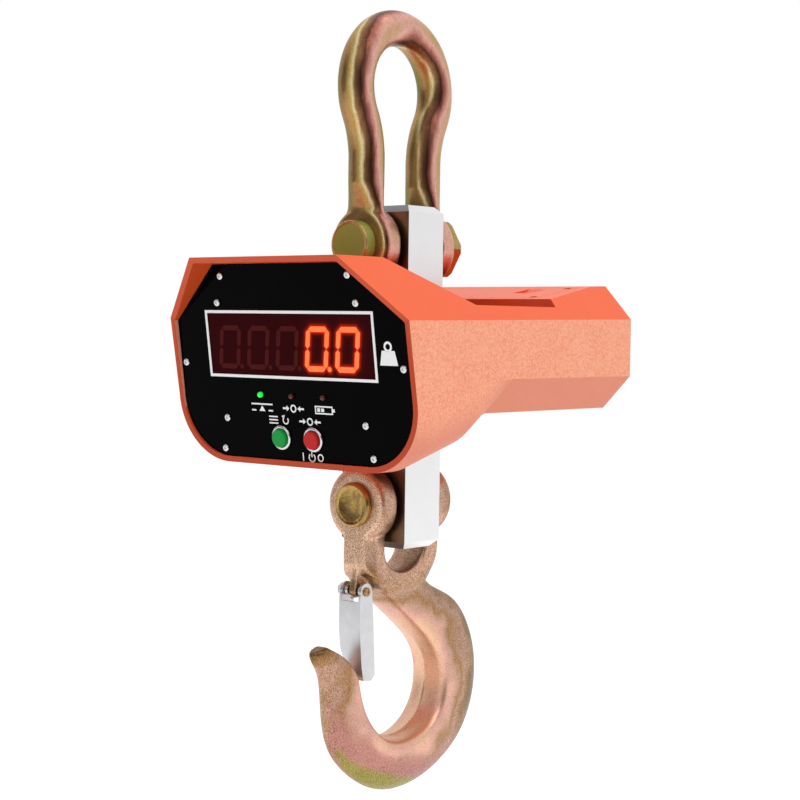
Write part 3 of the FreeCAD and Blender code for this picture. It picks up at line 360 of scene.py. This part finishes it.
def orange_grained(n):
    beads = n.cells(1.3, "SMOOTH_F1")
    crumb = n.noise(0.9, 3.0, 0.65)
    height = n.math("ADD", beads, n.math("MULTIPLY", crumb, 0.9))
    cloud = n.noise(26.0, 3.0)
    # the grained paint's pale pink is partly its own tone and partly a painted sheen; the grain's low parts are
    # painted paler and its high parts darker, a painted sheen mottle
    grain_and_sheen_tone = n.mix(n.remap(height, 0.55, 1.15), (0.98, 0.43, 0.275), (0.86, 0.26, 0.135))
    clouded = n.mix(n.math("MULTIPLY", cloud, 0.4), grain_and_sheen_tone, (0.97, 0.46, 0.30))
    # painted shade: faces that face down are painted a darker orange
    painted_underside_shade = n.remap(n.facing(DOWN), 0.05, 0.75)
    return {"Base Color": n.mix(painted_underside_shade, clouded, (0.70, 0.215, 0.125)),
            "Roughness": n.remap(height, 0.4, 1.2, 0.45, 0.62),
            "Normal": n.bump(height, 0.22)}


def gloss_black(n):
    dust = n.noise(0.6, 2.0)
    swirl = n.noise(24.0, 3.0)
    return {"Base Color": n.mix(swirl, (0.0005, 0.0005, 0.0005), (0.0012, 0.0012, 0.0014)),
            "Roughness": n.remap(dust, 0.2, 0.8, 0.09, 0.16)}


def white_ink(n):
    spread = n.noise(0.8, 3.0)
    return {"Base Color": n.mix(spread, (0.80, 0.80, 0.80), (0.95, 0.95, 0.95)),
            "Roughness": n.remap(spread, 0.2, 0.8, 0.4, 0.6),
            "Normal": n.bump(spread, 0.01)}


def bright_plate(n):
    brush = n.noise(0.5, 3.0)
    return {"Base Color": n.mix(brush, (0.56, 0.56, 0.58), (0.78, 0.78, 0.79)),
            "Roughness": n.remap(brush, 0.2, 0.8, 0.12, 0.24),
            "Normal": n.bump(brush, 0.01)}


def moulded(dark, light, grain, rough):
    """Moulded plastic or rubber: a cloudy colour and a fine grain."""
    def build(n):
        cloud = n.noise(12.0, 3.0)
        fine = n.noise(grain, 3.0, 0.6)
        return {"Base Color": n.mix(cloud, dark, light),
                "Roughness": n.remap(fine, 0.2, 0.8, rough - 0.06, rough + 0.08),
                "Normal": n.bump(fine, 0.03)}
    return build


def zinc_sheet(n):
    roll = n.noise(0.7, 3.0, 0.6, 0.0, (1.0, 1.0, 9.0))
    cloud = n.noise(9.0, 3.0)
    return {"Base Color": n.mix(cloud, (0.56, 0.56, 0.58), (0.72, 0.72, 0.74)),
            "Roughness": n.remap(roll, 0.2, 0.8, 0.28, 0.42),
            "Normal": n.bump(roll, 0.02)}


def red_window(n):
    """Smoked red acrylic, lit from behind where the mesh's glow value is high."""
    glow = n.add("Attribute", attribute_name="glow").outputs["Fac"]
    smoke = n.noise(18.0, 2.0)
    return {"Base Color": n.mix(smoke, (0.010, 0.001, 0.001), (0.018, 0.002, 0.003)),
            "Emission Color": n.ramp(glow, [(0.0, (0.016, 0.0008, 0.0012)), (0.25, (0.05, 0.002, 0.001)),
                                            (0.6, (0.28, 0.010, 0.002)), (1.0, (0.75, 0.045, 0.006))])}


def circuit_board(n):
    tracks = n.cells(3.0)
    weave = n.noise(0.7, 2.0)
    return {"Base Color": n.mix(n.remap(tracks, 0.3, 0.5), (0.02, 0.16, 0.05), (0.01, 0.09, 0.03)),
            "Roughness": n.remap(weave, 0.2, 0.8, 0.3, 0.5),
            "Normal": n.bump(tracks, 0.05)}


MATERIALS = {
    "bow_plating": material("bow_plating", bow_film, Metallic=1.0),
    "pin_plating": material("pin_plating", pin_film, Metallic=1.0),
    "hook_plating": material("hook_plating", hook_film, Metallic=1.0),
    "bar_steel": material("bar_steel", ground_steel, Metallic=1.0),
    "orange_coat": material("orange_coat", orange_smooth, Specular_IOR_Level=0.30),
    "orange_grained": material("orange_grained", orange_grained, Specular_IOR_Level=0.30),
    "head_plating": material("head_plating", head_film, Metallic=0.45),
    "black_face": material("black_face", gloss_black, Specular_IOR_Level=0.02),
    "window_red": material("window_red", red_window, Emission_Strength=1.0, Roughness=0.12,
                           Specular_IOR_Level=0.01),
    "white_print": material("white_print", white_ink),
    "bright_screws": material("bright_screws", bright_plate, Metallic=1.0),
    "black_rubber": material("black_rubber", moulded((0.012, 0.012, 0.012), (0.03, 0.03, 0.03), 0.6, 0.55)),
    "green_cap": material("green_cap", moulded((0.0, 0.26, 0.035), (0.002, 0.33, 0.05), 0.8, 0.30),
                          Specular_IOR_Level=0.2),
    "red_cap": material("red_cap", moulded((0.46, 0.008, 0.008), (0.56, 0.014, 0.012), 0.8, 0.30),
                        Specular_IOR_Level=0.2),
    "green_lamp": material("green_lamp", moulded((0.0, 0.5, 0.04), (0.02, 0.75, 0.08), 0.8, 0.15),
                           Emission_Color=(0.02, 0.9, 0.08, 1.0), Emission_Strength=0.6),
    "red_lamp": material("red_lamp", moulded((0.06, 0.002, 0.004), (0.10, 0.004, 0.008), 0.8, 0.12)),
    "digit_case": material("digit_case", moulded((0.02, 0.004, 0.004), (0.04, 0.008, 0.008), 0.8, 0.5)),
    "board_green": material("board_green", circuit_board),
    "zinc_sheet": material("zinc_sheet", zinc_sheet, Metallic=1.0),
    "switch_black": material("switch_black", moulded((0.015, 0.015, 0.015), (0.03, 0.03, 0.03), 0.8, 0.4)),
    "battery_grey": material("battery_grey", moulded((0.10, 0.10, 0.11), (0.16, 0.16, 0.17), 0.8, 0.5)),
    "brass_part": material("brass_part", moulded((0.55, 0.38, 0.12), (0.72, 0.52, 0.2), 0.6, 0.25),
                           Metallic=1.0),
    "spring_wire": material("spring_wire", bright_plate, Metallic=1.0),
}


# ---------------------------------------------------------------- mesh helpers
def add_piece(name, mesh, body):
    piece = bpy.data.objects.new(name, mesh)
    bpy.context.scene.collection.objects.link(piece)
    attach(piece, body)
    return piece


def stand_in(node, mesh, *materials):
    """Piece of its own that stands for one CAD node."""
    mesh.materials.clear()
    for entry in materials or (MATERIALS[SLOT_OF[node]],):
        mesh.materials.append(entry)
    piece = add_piece(node + "_skin", mesh, BODY_OF[node])
    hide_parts(node)
    return piece


def cad_copy(node):
    """Welded copy of a CAD node's mesh."""
    bm = bmesh.new()
    bm.from_mesh(NODES[node].data)
    bmesh.ops.remove_doubles(bm, verts=bm.verts, dist=0.002 * MM)
    return bm


def to_mesh(bm, name):
    mesh = bpy.data.meshes.new(name)
    bm.to_mesh(mesh)
    bm.free()
    for polygon in mesh.polygons:
        polygon.use_smooth = True
    return mesh


def made_real(piece):
    """Applies the piece's modifiers to its mesh."""
    shape = piece.evaluated_get(bpy.context.evaluated_depsgraph_get())
    mesh = bpy.data.meshes.new_from_object(shape)
    piece.modifiers.clear()
    piece.data = mesh
    return mesh


def softened(node, radius, segments=2, angle=28.0, *materials):
    """CAD node with its sharp edges rounded by radius, in millimetres, and its flat faces left flat."""
    bm = cad_copy(node)
    bmesh.ops.dissolve_limit(bm, angle_limit=math.radians(0.6), verts=bm.verts, edges=bm.edges)
    limit = math.radians(angle)
    sharp = [e for e in bm.edges if len(e.link_faces) == 2 and e.calc_face_angle(0.0) > limit]
    bmesh.ops.bevel(bm, geom=sharp, offset=radius * MM, offset_type="OFFSET", segments=segments,
                    profile=0.5, affect="EDGES", clamp_overlap=True)
    piece = stand_in(node, to_mesh(bm, node), *materials)
    piece.data.set_sharp_from_angle(angle=math.radians(40.0))
    weigh = piece.modifiers.new("weigh", "WEIGHTED_NORMAL")
    weigh.keep_sharp = True
    weigh.weight = 100
    made_real(piece)
    return piece


WIDE_WAVE = 11.0            # mm, the unevenness of a forged skin
SHORT_WAVE = 4.0


def forged(node, voxel, passes, rough, joint=None):
    """CAD node as one forging: its corners flow together and its skin is slightly uneven.

    joint, where the smoothing is strongest, is a junction's height, half depth and lowest Y, in mm.
    """
    bm = cad_copy(node)
    bm.transform(Matrix.Scale(1.0 / MM, 4))
    piece = stand_in(node, to_mesh(bm, node))
    remesh = piece.modifiers.new("remesh", "REMESH")
    remesh.mode = "VOXEL"
    remesh.voxel_size = voxel
    smooth = piece.modifiers.new("smooth", "SMOOTH")
    smooth.iterations = passes
    smooth.factor = 0.5
    mesh = made_real(piece)
    if joint:
        height, half, front = joint
        near = piece.vertex_groups.new(name="near")
        for vertex in mesh.vertices:
            weight = 1.0 - abs(vertex.co.z - height) / half
            if weight > 0.0 and vertex.co.y > front:
                near.add([vertex.index], min(1.0, weight * 2.0), "REPLACE")
        blend = piece.modifiers.new("blend", "SMOOTH")
        blend.iterations = 60
        blend.factor = 0.6
        blend.vertex_group = "near"
        mesh = made_real(piece)
    moved = []
    for vertex, normal in zip(mesh.vertices, mesh.vertex_normals):
        wave = noise.noise(vertex.co / WIDE_WAVE) * 0.8 + noise.noise(vertex.co / SHORT_WAVE) * 0.2
        moved.extend(vertex.co + normal.vector * (wave * rough))
    mesh.vertices.foreach_set("co", moved)
    mesh.transform(Matrix.Scale(MM, 4))
    for polygon in mesh.polygons:
        polygon.use_smooth = True
    return piece


# ---------------------------------------------------------------- display plane
TRIM_LOW, TRIM_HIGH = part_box("window_trim")
PRESS = Vector(next(joint["axis"] for joint in frame["joints"] if joint["name"] == "green_press"))
INWARD = PRESS.normalized()
UPWARD = INWARD.cross(Vector((-1.0, 0.0, 0.0))).normalized()
WINDOW_MIDDLE = (TRIM_LOW + TRIM_HIGH) / 2.0 + INWARD * 0.125 * MM


def on_plate(x, height, depth=0.0):
    """Point on the display plate: millimetres from the window's middle; depth is inwards."""
    return WINDOW_MIDDLE + Vector((x * MM, 0.0, 0.0)) + UPWARD * (height * MM) + INWARD * (depth * MM)


def inlay(bm, outline, depth0, depth1):
    """Thin plate with the given outline of (x, height) points."""
    rings = [[bm.verts.new(on_plate(x, h, depth)) for x, h in outline] for depth in (depth0, depth1)]
    count = len(outline)
    bm.faces.new(rings[0])
    bm.faces.new(list(reversed(rings[1])))
    for at in range(count):
        after = (at + 1) % count
        bm.faces.new((rings[0][at], rings[1][at], rings[1][after], rings[0][after]))


def finish_flat(bm, name):
    bmesh.ops.recalc_face_normals(bm, faces=bm.faces)
    mesh = bpy.data.meshes.new(name)
    bm.to_mesh(mesh)
    bm.free()
    return mesh


# ---------------------------------------------------------------- CAD nodes that keep their shape
def dress_cad_nodes():
    """Each CAD node gets its slot's material; those that a piece replaces are hidden later."""
    for node, thing in NODES.items():
        thing.data.materials.clear()
        thing.data.materials.append(MATERIALS[SLOT_OF[node]])


# ---------------------------------------------------------------- housing
def paint_faces(mesh, index, test):
    for polygon in mesh.polygons:
        if test(polygon):
            polygon.material_index = index


FLANK_DEPTH = 0.4           # mm in from the widest place that still count as the flank
BELLY_HEIGHT = 70.0         # mm up from the lowest place that count as the belly


def build_housing():
    """Die-cast shell, smooth on top and in front, grained on its flanks and belly, and its covers."""
    shell = softened("housing_shell", 0.9, 2, 24.0, MATERIALS["orange_coat"], MATERIALS["orange_grained"])
    low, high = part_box("housing_shell")
    side = high.x - FLANK_DEPTH * MM
    belly = low.z + BELLY_HEIGHT * MM

    def grained(polygon):
        normal, middle = polygon.normal, polygon.center
        on_flank = abs(middle.x) > side and abs(normal.x) > 0.97
        on_belly = middle.z < belly and normal.z < 0.2 and abs(normal.y) < 0.9
        return on_flank or on_belly
    paint_faces(shell.data, 1, grained)
    softened("battery_cover", 0.4)
    softened("rear_cover", 0.4)
    softened("bar_seals", 0.4)


# ---------------------------------------------------------------- display
DIGIT_PITCH = 27.6
DIGIT_FIRST = -57.0
DIGIT_HEIGHT = -2.4         # middle of the digits, from the window's middle
SEGMENT_HALF_W = 8.6
SEGMENT_HALF_H = 13.6
SEGMENT_T = 3.6
SEGMENT_GAP = 0.35
SEGMENT_FRONT = 0.30        # depths of the segments' faces below the plate
SEGMENT_BACK = 0.39
DOT_ASIDE = 12.2            # from a digit's middle to its dot, before the slant
SLANT = math.tan(math.radians(9.0))
LIT_DIGITS = (3, 4)
LIT_DOT = 3


def segment_outlines(place):
    """The six bars of a nought, as hexagonal outlines, slanted."""
    middle = DIGIT_FIRST + DIGIT_PITCH * place
    half_w, half_h, t = SEGMENT_HALF_W, SEGMENT_HALF_H, SEGMENT_T / 2.0
    gap = SEGMENT_GAP
    bars = []
    for side in (-1, 1):
        for low, high in ((-half_h, 0.0), (0.0, half_h)):
            x = side * half_w
            y0, y1 = low + gap, high - gap
            bars.append([(x, y0), (x + t, y0 + t), (x + t, y1 - t),
                         (x, y1), (x - t, y1 - t), (x - t, y0 + t)])
    for y in (-half_h, half_h):
        x0, x1 = -half_w + gap, half_w - gap
        bars.append([(x0, y), (x0 + t, y + t), (x1 - t, y + t),
                     (x1, y), (x1 - t, y - t), (x0 + t, y - t)])
    return [[(middle + x + y * SLANT, DIGIT_HEIGHT + y) for x, y in bar] for bar in bars]


def dot_outline(place, radius=1.7, steps=16):
    x0 = DIGIT_FIRST + DIGIT_PITCH * place + DOT_ASIDE - SEGMENT_HALF_H * SLANT
    y0 = DIGIT_HEIGHT - SEGMENT_HALF_H
    turns = [2 * math.pi * k / steps for k in range(steps)]
    return [(x0 + radius * math.cos(turn), y0 + radius * math.sin(turn)) for turn in turns]


def lit(strength):
    def build(n):
        core = n.noise(2.0, 1.0)
        return {"Emission Color": n.mix(core, (1.0, 0.095, 0.014), (1.0, 0.15, 0.03))}
    return material("segment_lit", build, Emission_Strength=strength, Base_Color=(0.5, 0.05, 0.01, 1.0),
                    Roughness=0.5)


def unlit_with_painted_glow():
    def build(n):
        core = n.noise(2.0, 1.0)
        return {"Base Color": n.mix(core, (0.030, 0.004, 0.004), (0.042, 0.006, 0.006)),
                # painted glow: the unlit segments emit a faint red of their own
                "Emission Color": n.mix(core, (0.045, 0.005, 0.005), (0.06, 0.008, 0.007))}
    return material("segment_unlit_painted_glow", build, Emission_Strength=0.6, Roughness=0.6, Specular_IOR_Level=0.02)


def build_digits():
    groups = {"segments_lit": [], "segments_unlit": []}
    for place in range(5):
        key = "segments_lit" if place in LIT_DIGITS else "segments_unlit"
        groups[key] += segment_outlines(place)
        if place < 4:
            groups["segments_lit" if place == LIT_DOT else "segments_unlit"].append(dot_outline(place))
    looks = {"segments_lit": lit(1.25), "segments_unlit": unlit_with_painted_glow()}
    for name, outlines in groups.items():
        bm = bmesh.new()
        for outline in outlines:
            inlay(bm, outline, SEGMENT_FRONT, SEGMENT_BACK)
        mesh = finish_flat(bm, name)
        mesh.materials.append(looks[name])
        add_piece(name, mesh, "scale")
    return groups["segments_lit"]


def distance_to_outline(x, y, outline):
    """Distance from a point to a closed outline's edge, in its own units."""
    nearest = 1e9
    for at, (x0, y0) in enumerate(outline):
        x1, y1 = outline[(at + 1) % len(outline)]
        dx, dy = x1 - x0, y1 - y0
        along = ((x - x0) * dx + (y - y0) * dy) / max(dx * dx + dy * dy, 1e-9)
        along = min(1.0, max(0.0, along))
        nearest = min(nearest, math.hypot(x - x0 - along * dx, y - y0 - along * dy))
    return nearest


LENS_DEPTH = 0.4            # its outer face below the plate
LENS_T = 2.6
LENS_STEP = 1.1
GLOW_REACH = 1.9            # mm in which the light round a lit bar falls to a third


def build_lens(lit_outlines):
    """Window: a fine grid in front, so that the light round the lit bars can fall off smoothly."""
    low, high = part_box("window_lens")
    half_x = (high.x - low.x) / 2.0 / MM
    half_h = ((high.z - low.z) / MM - LENS_T * abs(INWARD.z)) / (2.0 * UPWARD.z)
    columns, rows = int(2 * half_x / LENS_STEP), int(2 * half_h / LENS_STEP)
    bm = bmesh.new()
    layer = bm.verts.layers.float.new("glow")
    grid = []
    for j in range(rows + 1):
        h = -half_h + 2 * half_h * j / rows
        line = []
        for i in range(columns + 1):
            x = -half_x + 2 * half_x * i / columns
            vertex = bm.verts.new(on_plate(x, h, LENS_DEPTH))
            away = min(distance_to_outline(x, h, outline) for outline in lit_outlines)
            vertex[layer] = math.exp(-away / GLOW_REACH)
            line.append(vertex)
        grid.append(line)
    for j in range(rows):
        for i in range(columns):
            bm.faces.new((grid[j][i], grid[j][i + 1], grid[j + 1][i + 1], grid[j + 1][i]))
    back = bmesh.ops.extrude_face_region(bm, geom=list(bm.faces))
    moved = [v for v in back["geom"] if isinstance(v, bmesh.types.BMVert)]
    bmesh.ops.translate(bm, verts=moved, vec=INWARD * LENS_T * MM)
    stand_in("window_lens", finish_flat(bm, "window_lens"))


# Small marks printed on the plate: outlines in millimetres about their own middle, before MARK_SIZE.
MARK_SIZE = 1.2
MARK_PROUD = 0.05


def bar_mark(x0, x1, y0, y1):
    return [(x0, y0), (x1, y0), (x1, y1), (x0, y1)]


def ring_mark(x, y, radius, width, start=0.0, turn=360.0, steps=28):
    """Part of a ring, from start degrees on for turn degrees, as short four-sided pieces."""
    pieces = []
    for k in range(steps):
        a0 = math.radians(start + turn * k / steps)
        a1 = math.radians(start + turn * (k + 1) / steps)
        inner, outer = radius - width / 2.0, radius + width / 2.0
        pieces.append([(x + inner * math.cos(a0), y + inner * math.sin(a0)),
                       (x + outer * math.cos(a0), y + outer * math.sin(a0)),
                       (x + outer * math.cos(a1), y + outer * math.sin(a1)),
                       (x + inner * math.cos(a1), y + inner * math.sin(a1))])
    return pieces


def arrow_mark(x, y, way, size):
    """Arrow with its tip at x, pointing along way."""
    return [[(x, y), (x - way * size, y + size * 0.8), (x - way * size, y - size * 0.8)],
            bar_mark(min(x - way * size, x - way * size * 2.4), max(x - way * size, x - way * size * 2.4),
                     y - size * 0.26, y + size * 0.26)]


def zero_mark():
    return ring_mark(0, 0, 1.9, 0.9) + arrow_mark(-3.2, 0, 1, 2.1) + arrow_mark(3.2, 0, -1, 2.1)


def level_mark():
    return [bar_mark(-8.5, 8.5, 1.3, 2.2), [(0, 0.9), (2.4, -2.4), (-2.4, -2.4)],
            bar_mark(-8.5, -5.0, -2.4, -1.5), bar_mark(5.0, 8.5, -2.4, -1.5)]


def battery_mark():
    return [bar_mark(-7.5, 6.0, 1.6, 2.4), bar_mark(-7.5, 6.0, -2.4, -1.6), bar_mark(-7.5, -6.7, -1.6, 1.6),
            bar_mark(5.2, 6.0, -1.6, 1.6), bar_mark(6.0, 7.5, -0.9, 0.9), bar_mark(-5.8, -3.6, -1.0, 1.0),
            bar_mark(-2.8, -0.6, -1.0, 1.0)]


def list_mark():
    lines = [bar_mark(-8.5, -1.5, y - 0.4, y + 0.4) for y in (1.9, 0.0, -1.9)]
    turn_back = ring_mark(4.6, 0, 2.0, 0.8, 120, 280)
    return lines + turn_back + [[(1.6, 2.5), (4.2, 3.2), (3.2, 0.9)]]


def power_mark():
    switch = ring_mark(0, -0.2, 2.3, 0.8, 125, 290) + [bar_mark(-0.4, 0.4, 0.2, 3.0)]
    return switch + [bar_mark(-7.2, -6.4, -2.4, 2.4)] + ring_mark(6.6, 0, 1.9, 0.8)


def weight_mark():
    """Weight with a ring, for the unit beside the window."""
    return [[(-6.4, -6.2), (6.4, -6.2), (4.6, 2.0), (-4.6, 2.0)]] + ring_mark(0, 4.2, 2.3, 1.3)


def build_marks():
    spots = [(weight_mark, 89.0, -4.6), (level_mark, -30.4, -44.2), (zero_mark, -0.6, -44.2),
             (battery_mark, 28.6, -44.2), (list_mark, -14.4, -52.8), (zero_mark, 13.9, -52.8),
             (power_mark, 13.0, -77.6)]
    bm = bmesh.new()
    for make, x0, h0 in spots:
        for outline in make():
            inlay(bm, [(x0 + x * MARK_SIZE, h0 + h * MARK_SIZE) for x, h in outline], -MARK_PROUD, 0.0)
    mesh = finish_flat(bm, "printed_marks")
    mesh.materials.append(MATERIALS["white_print"])
    add_piece("printed_marks", mesh, "scale")


def build_display():
    lit_outlines = build_digits()
    build_lens(lit_outlines)
    build_marks()
    softened("faceplate", 0.25)
    softened("button_bezels", 0.2)


# ---------------------------------------------------------------- load train
HEAD_FLAT = 0.05            # mm behind the foremost face that still count as the head's end
HEAD_LENGTH = 3.0


def turned_pin(node, rings, *materials):
    """Pin whose head has shallow turned steps: each one's width and depth in mm, from the rim inwards.

    With a second material, that one goes on the head's rim and the first on the rest.
    """
    piece = softened(node, 0.45, 2, 28.0, *materials)
    bm = bmesh.new()
    bm.from_mesh(piece.data)
    bm.faces.ensure_lookup_table()
    front = min(face.calc_center_median().y for face in bm.faces)
    ends = [entry for entry in bm.faces if entry.calc_center_median().y < front + HEAD_FLAT * MM]
    face = max(ends, key=lambda entry: entry.calc_area())
    for width, depth in rings:
        bmesh.ops.inset_individual(bm, faces=[face], thickness=width * MM, depth=depth * MM)
    for ring in bm.faces:
        if len(materials) > 1 and ring.calc_center_median().y < front + HEAD_LENGTH * MM:
            ring.material_index = 1
    face.material_index = 0
    bm.to_mesh(piece.data)
    bm.free()
    piece.data.set_sharp_from_angle(angle=math.radians(20.0))


def build_load_train():
    forged("shackle_bow", 1.0, 6, 0.10)
    forged("hook", 1.0, 9, 0.10, (-386.0, 22.0, -24.0))
    turned_pin("shackle_pin", [(0.9, 0.0), (0.25, -0.3)],
               MATERIALS["head_plating"], MATERIALS["pin_plating"])
    turned_pin("hook_pin", [(2.4, 0.0), (0.3, -0.35)], MATERIALS["pin_plating"])
    softened("load_cell_bar", 0.5)
    softened("shackle_nut", 0.5)
    softened("latch", 0.35)
    softened("latch_nut", 0.25)


# ---------------------------------------------------------------- room
FLOOR_DROP = 0.55           # from the hook's lowest point to the floor
FLOOR_SIZE = 9.0
STRIPS = [(-42.0, 20.0, 0.95), (62.0, 30.0, 0.93)]      # dark studio flats: azimuth, half width, depth
WALL_GREY = (0.92, 0.92, 0.92)


def build_floor():
    bm = bmesh.new()
    bmesh.ops.create_grid(bm, x_segments=8, y_segments=8, size=FLOOR_SIZE)
    mesh = bpy.data.meshes.new("floor")
    bm.to_mesh(mesh)
    bm.free()

    def chalk(n):
        fleck = n.noise(300.0, 3.0)
        return {"Base Color": n.mix(fleck, (0.93, 0.93, 0.93), (0.96, 0.96, 0.96))}
    mesh.materials.append(material("floor_white", chalk, Roughness=0.9, Specular_IOR_Level=0.1,
                                   Emission_Color=(1.0, 1.0, 1.0, 1.0), Emission_Strength=0.30))
    floor = bpy.data.objects.new("floor", mesh)
    bpy.context.scene.collection.objects.link(floor)
    floor.location = (0.0, 0.0, CAD_BOX[0][2] - FLOOR_DROP)


def build_world():
    """White to the camera. To everything else, pale walls with a dark flat at each strip."""
    world = bpy.data.worlds.new("studio")
    bpy.context.scene.world = world
    world.use_nodes = True
    n = Nodes(world.node_tree)
    background = world.node_tree.nodes["Background"]
    split = n.add("SeparateXYZ")
    n.plug(n.add("TexCoord").outputs["Generated"], split.inputs[0])
    x, y, z = split.outputs
    azimuth = n.math("DEGREES", n.math("ARCTAN2", x, n.math("MULTIPLY", y, -1.0)))
    height = n.math("MULTIPLY", n.remap(z, -0.75, -0.35), n.remap(z, 0.80, 0.45))
    light = 1.0
    for middle, half, depth in STRIPS:
        away = n.math("ABSOLUTE", n.math("SUBTRACT", azimuth, middle))
        cover = n.math("MULTIPLY", n.remap(away, half + 7.0, half - 5.0), height)
        shade = n.math("SUBTRACT", 1.0, n.math("MULTIPLY", cover, depth))
        light = n.math("MULTIPLY", light, shade)
    seen = n.add("LightPath").outputs["Is Camera Ray"]
    walls = n.ramp(light, [(0.0, (0, 0, 0)), (1.0, WALL_GREY)])
    n.plug(n.mix(seen, walls, (1.0, 1.0, 1.0)), background.inputs["Color"])
    background.inputs["Strength"].default_value = 1.0


def add_area(name, spot, aim, size, power):
    lamp = bpy.data.lights.new(name, "AREA")
    lamp.shape = "DISK"
    lamp.size = size
    lamp.energy = power
    thing = bpy.data.objects.new(name, lamp)
    bpy.context.scene.collection.objects.link(thing)
    thing.location = spot
    thing.rotation_mode = "QUATERNION"
    thing.rotation_quaternion = (Vector(aim) - Vector(spot)).to_track_quat("-Z", "Y")


def build_lights():
    add_area("key", (1.6, -0.6, 1.4), (0.0, 0.0, -0.25), 1.6, 10.0)
    add_area("top", (0.0, 0.4, 2.2), (0.0, 0.0, -0.2), 2.2, 12.0)
    bpy.context.scene.view_settings.view_transform = "Standard"


add_camera()
dress_cad_nodes()
build_housing()
build_display()
build_load_train()
build_floor()
build_world()
build_lights()
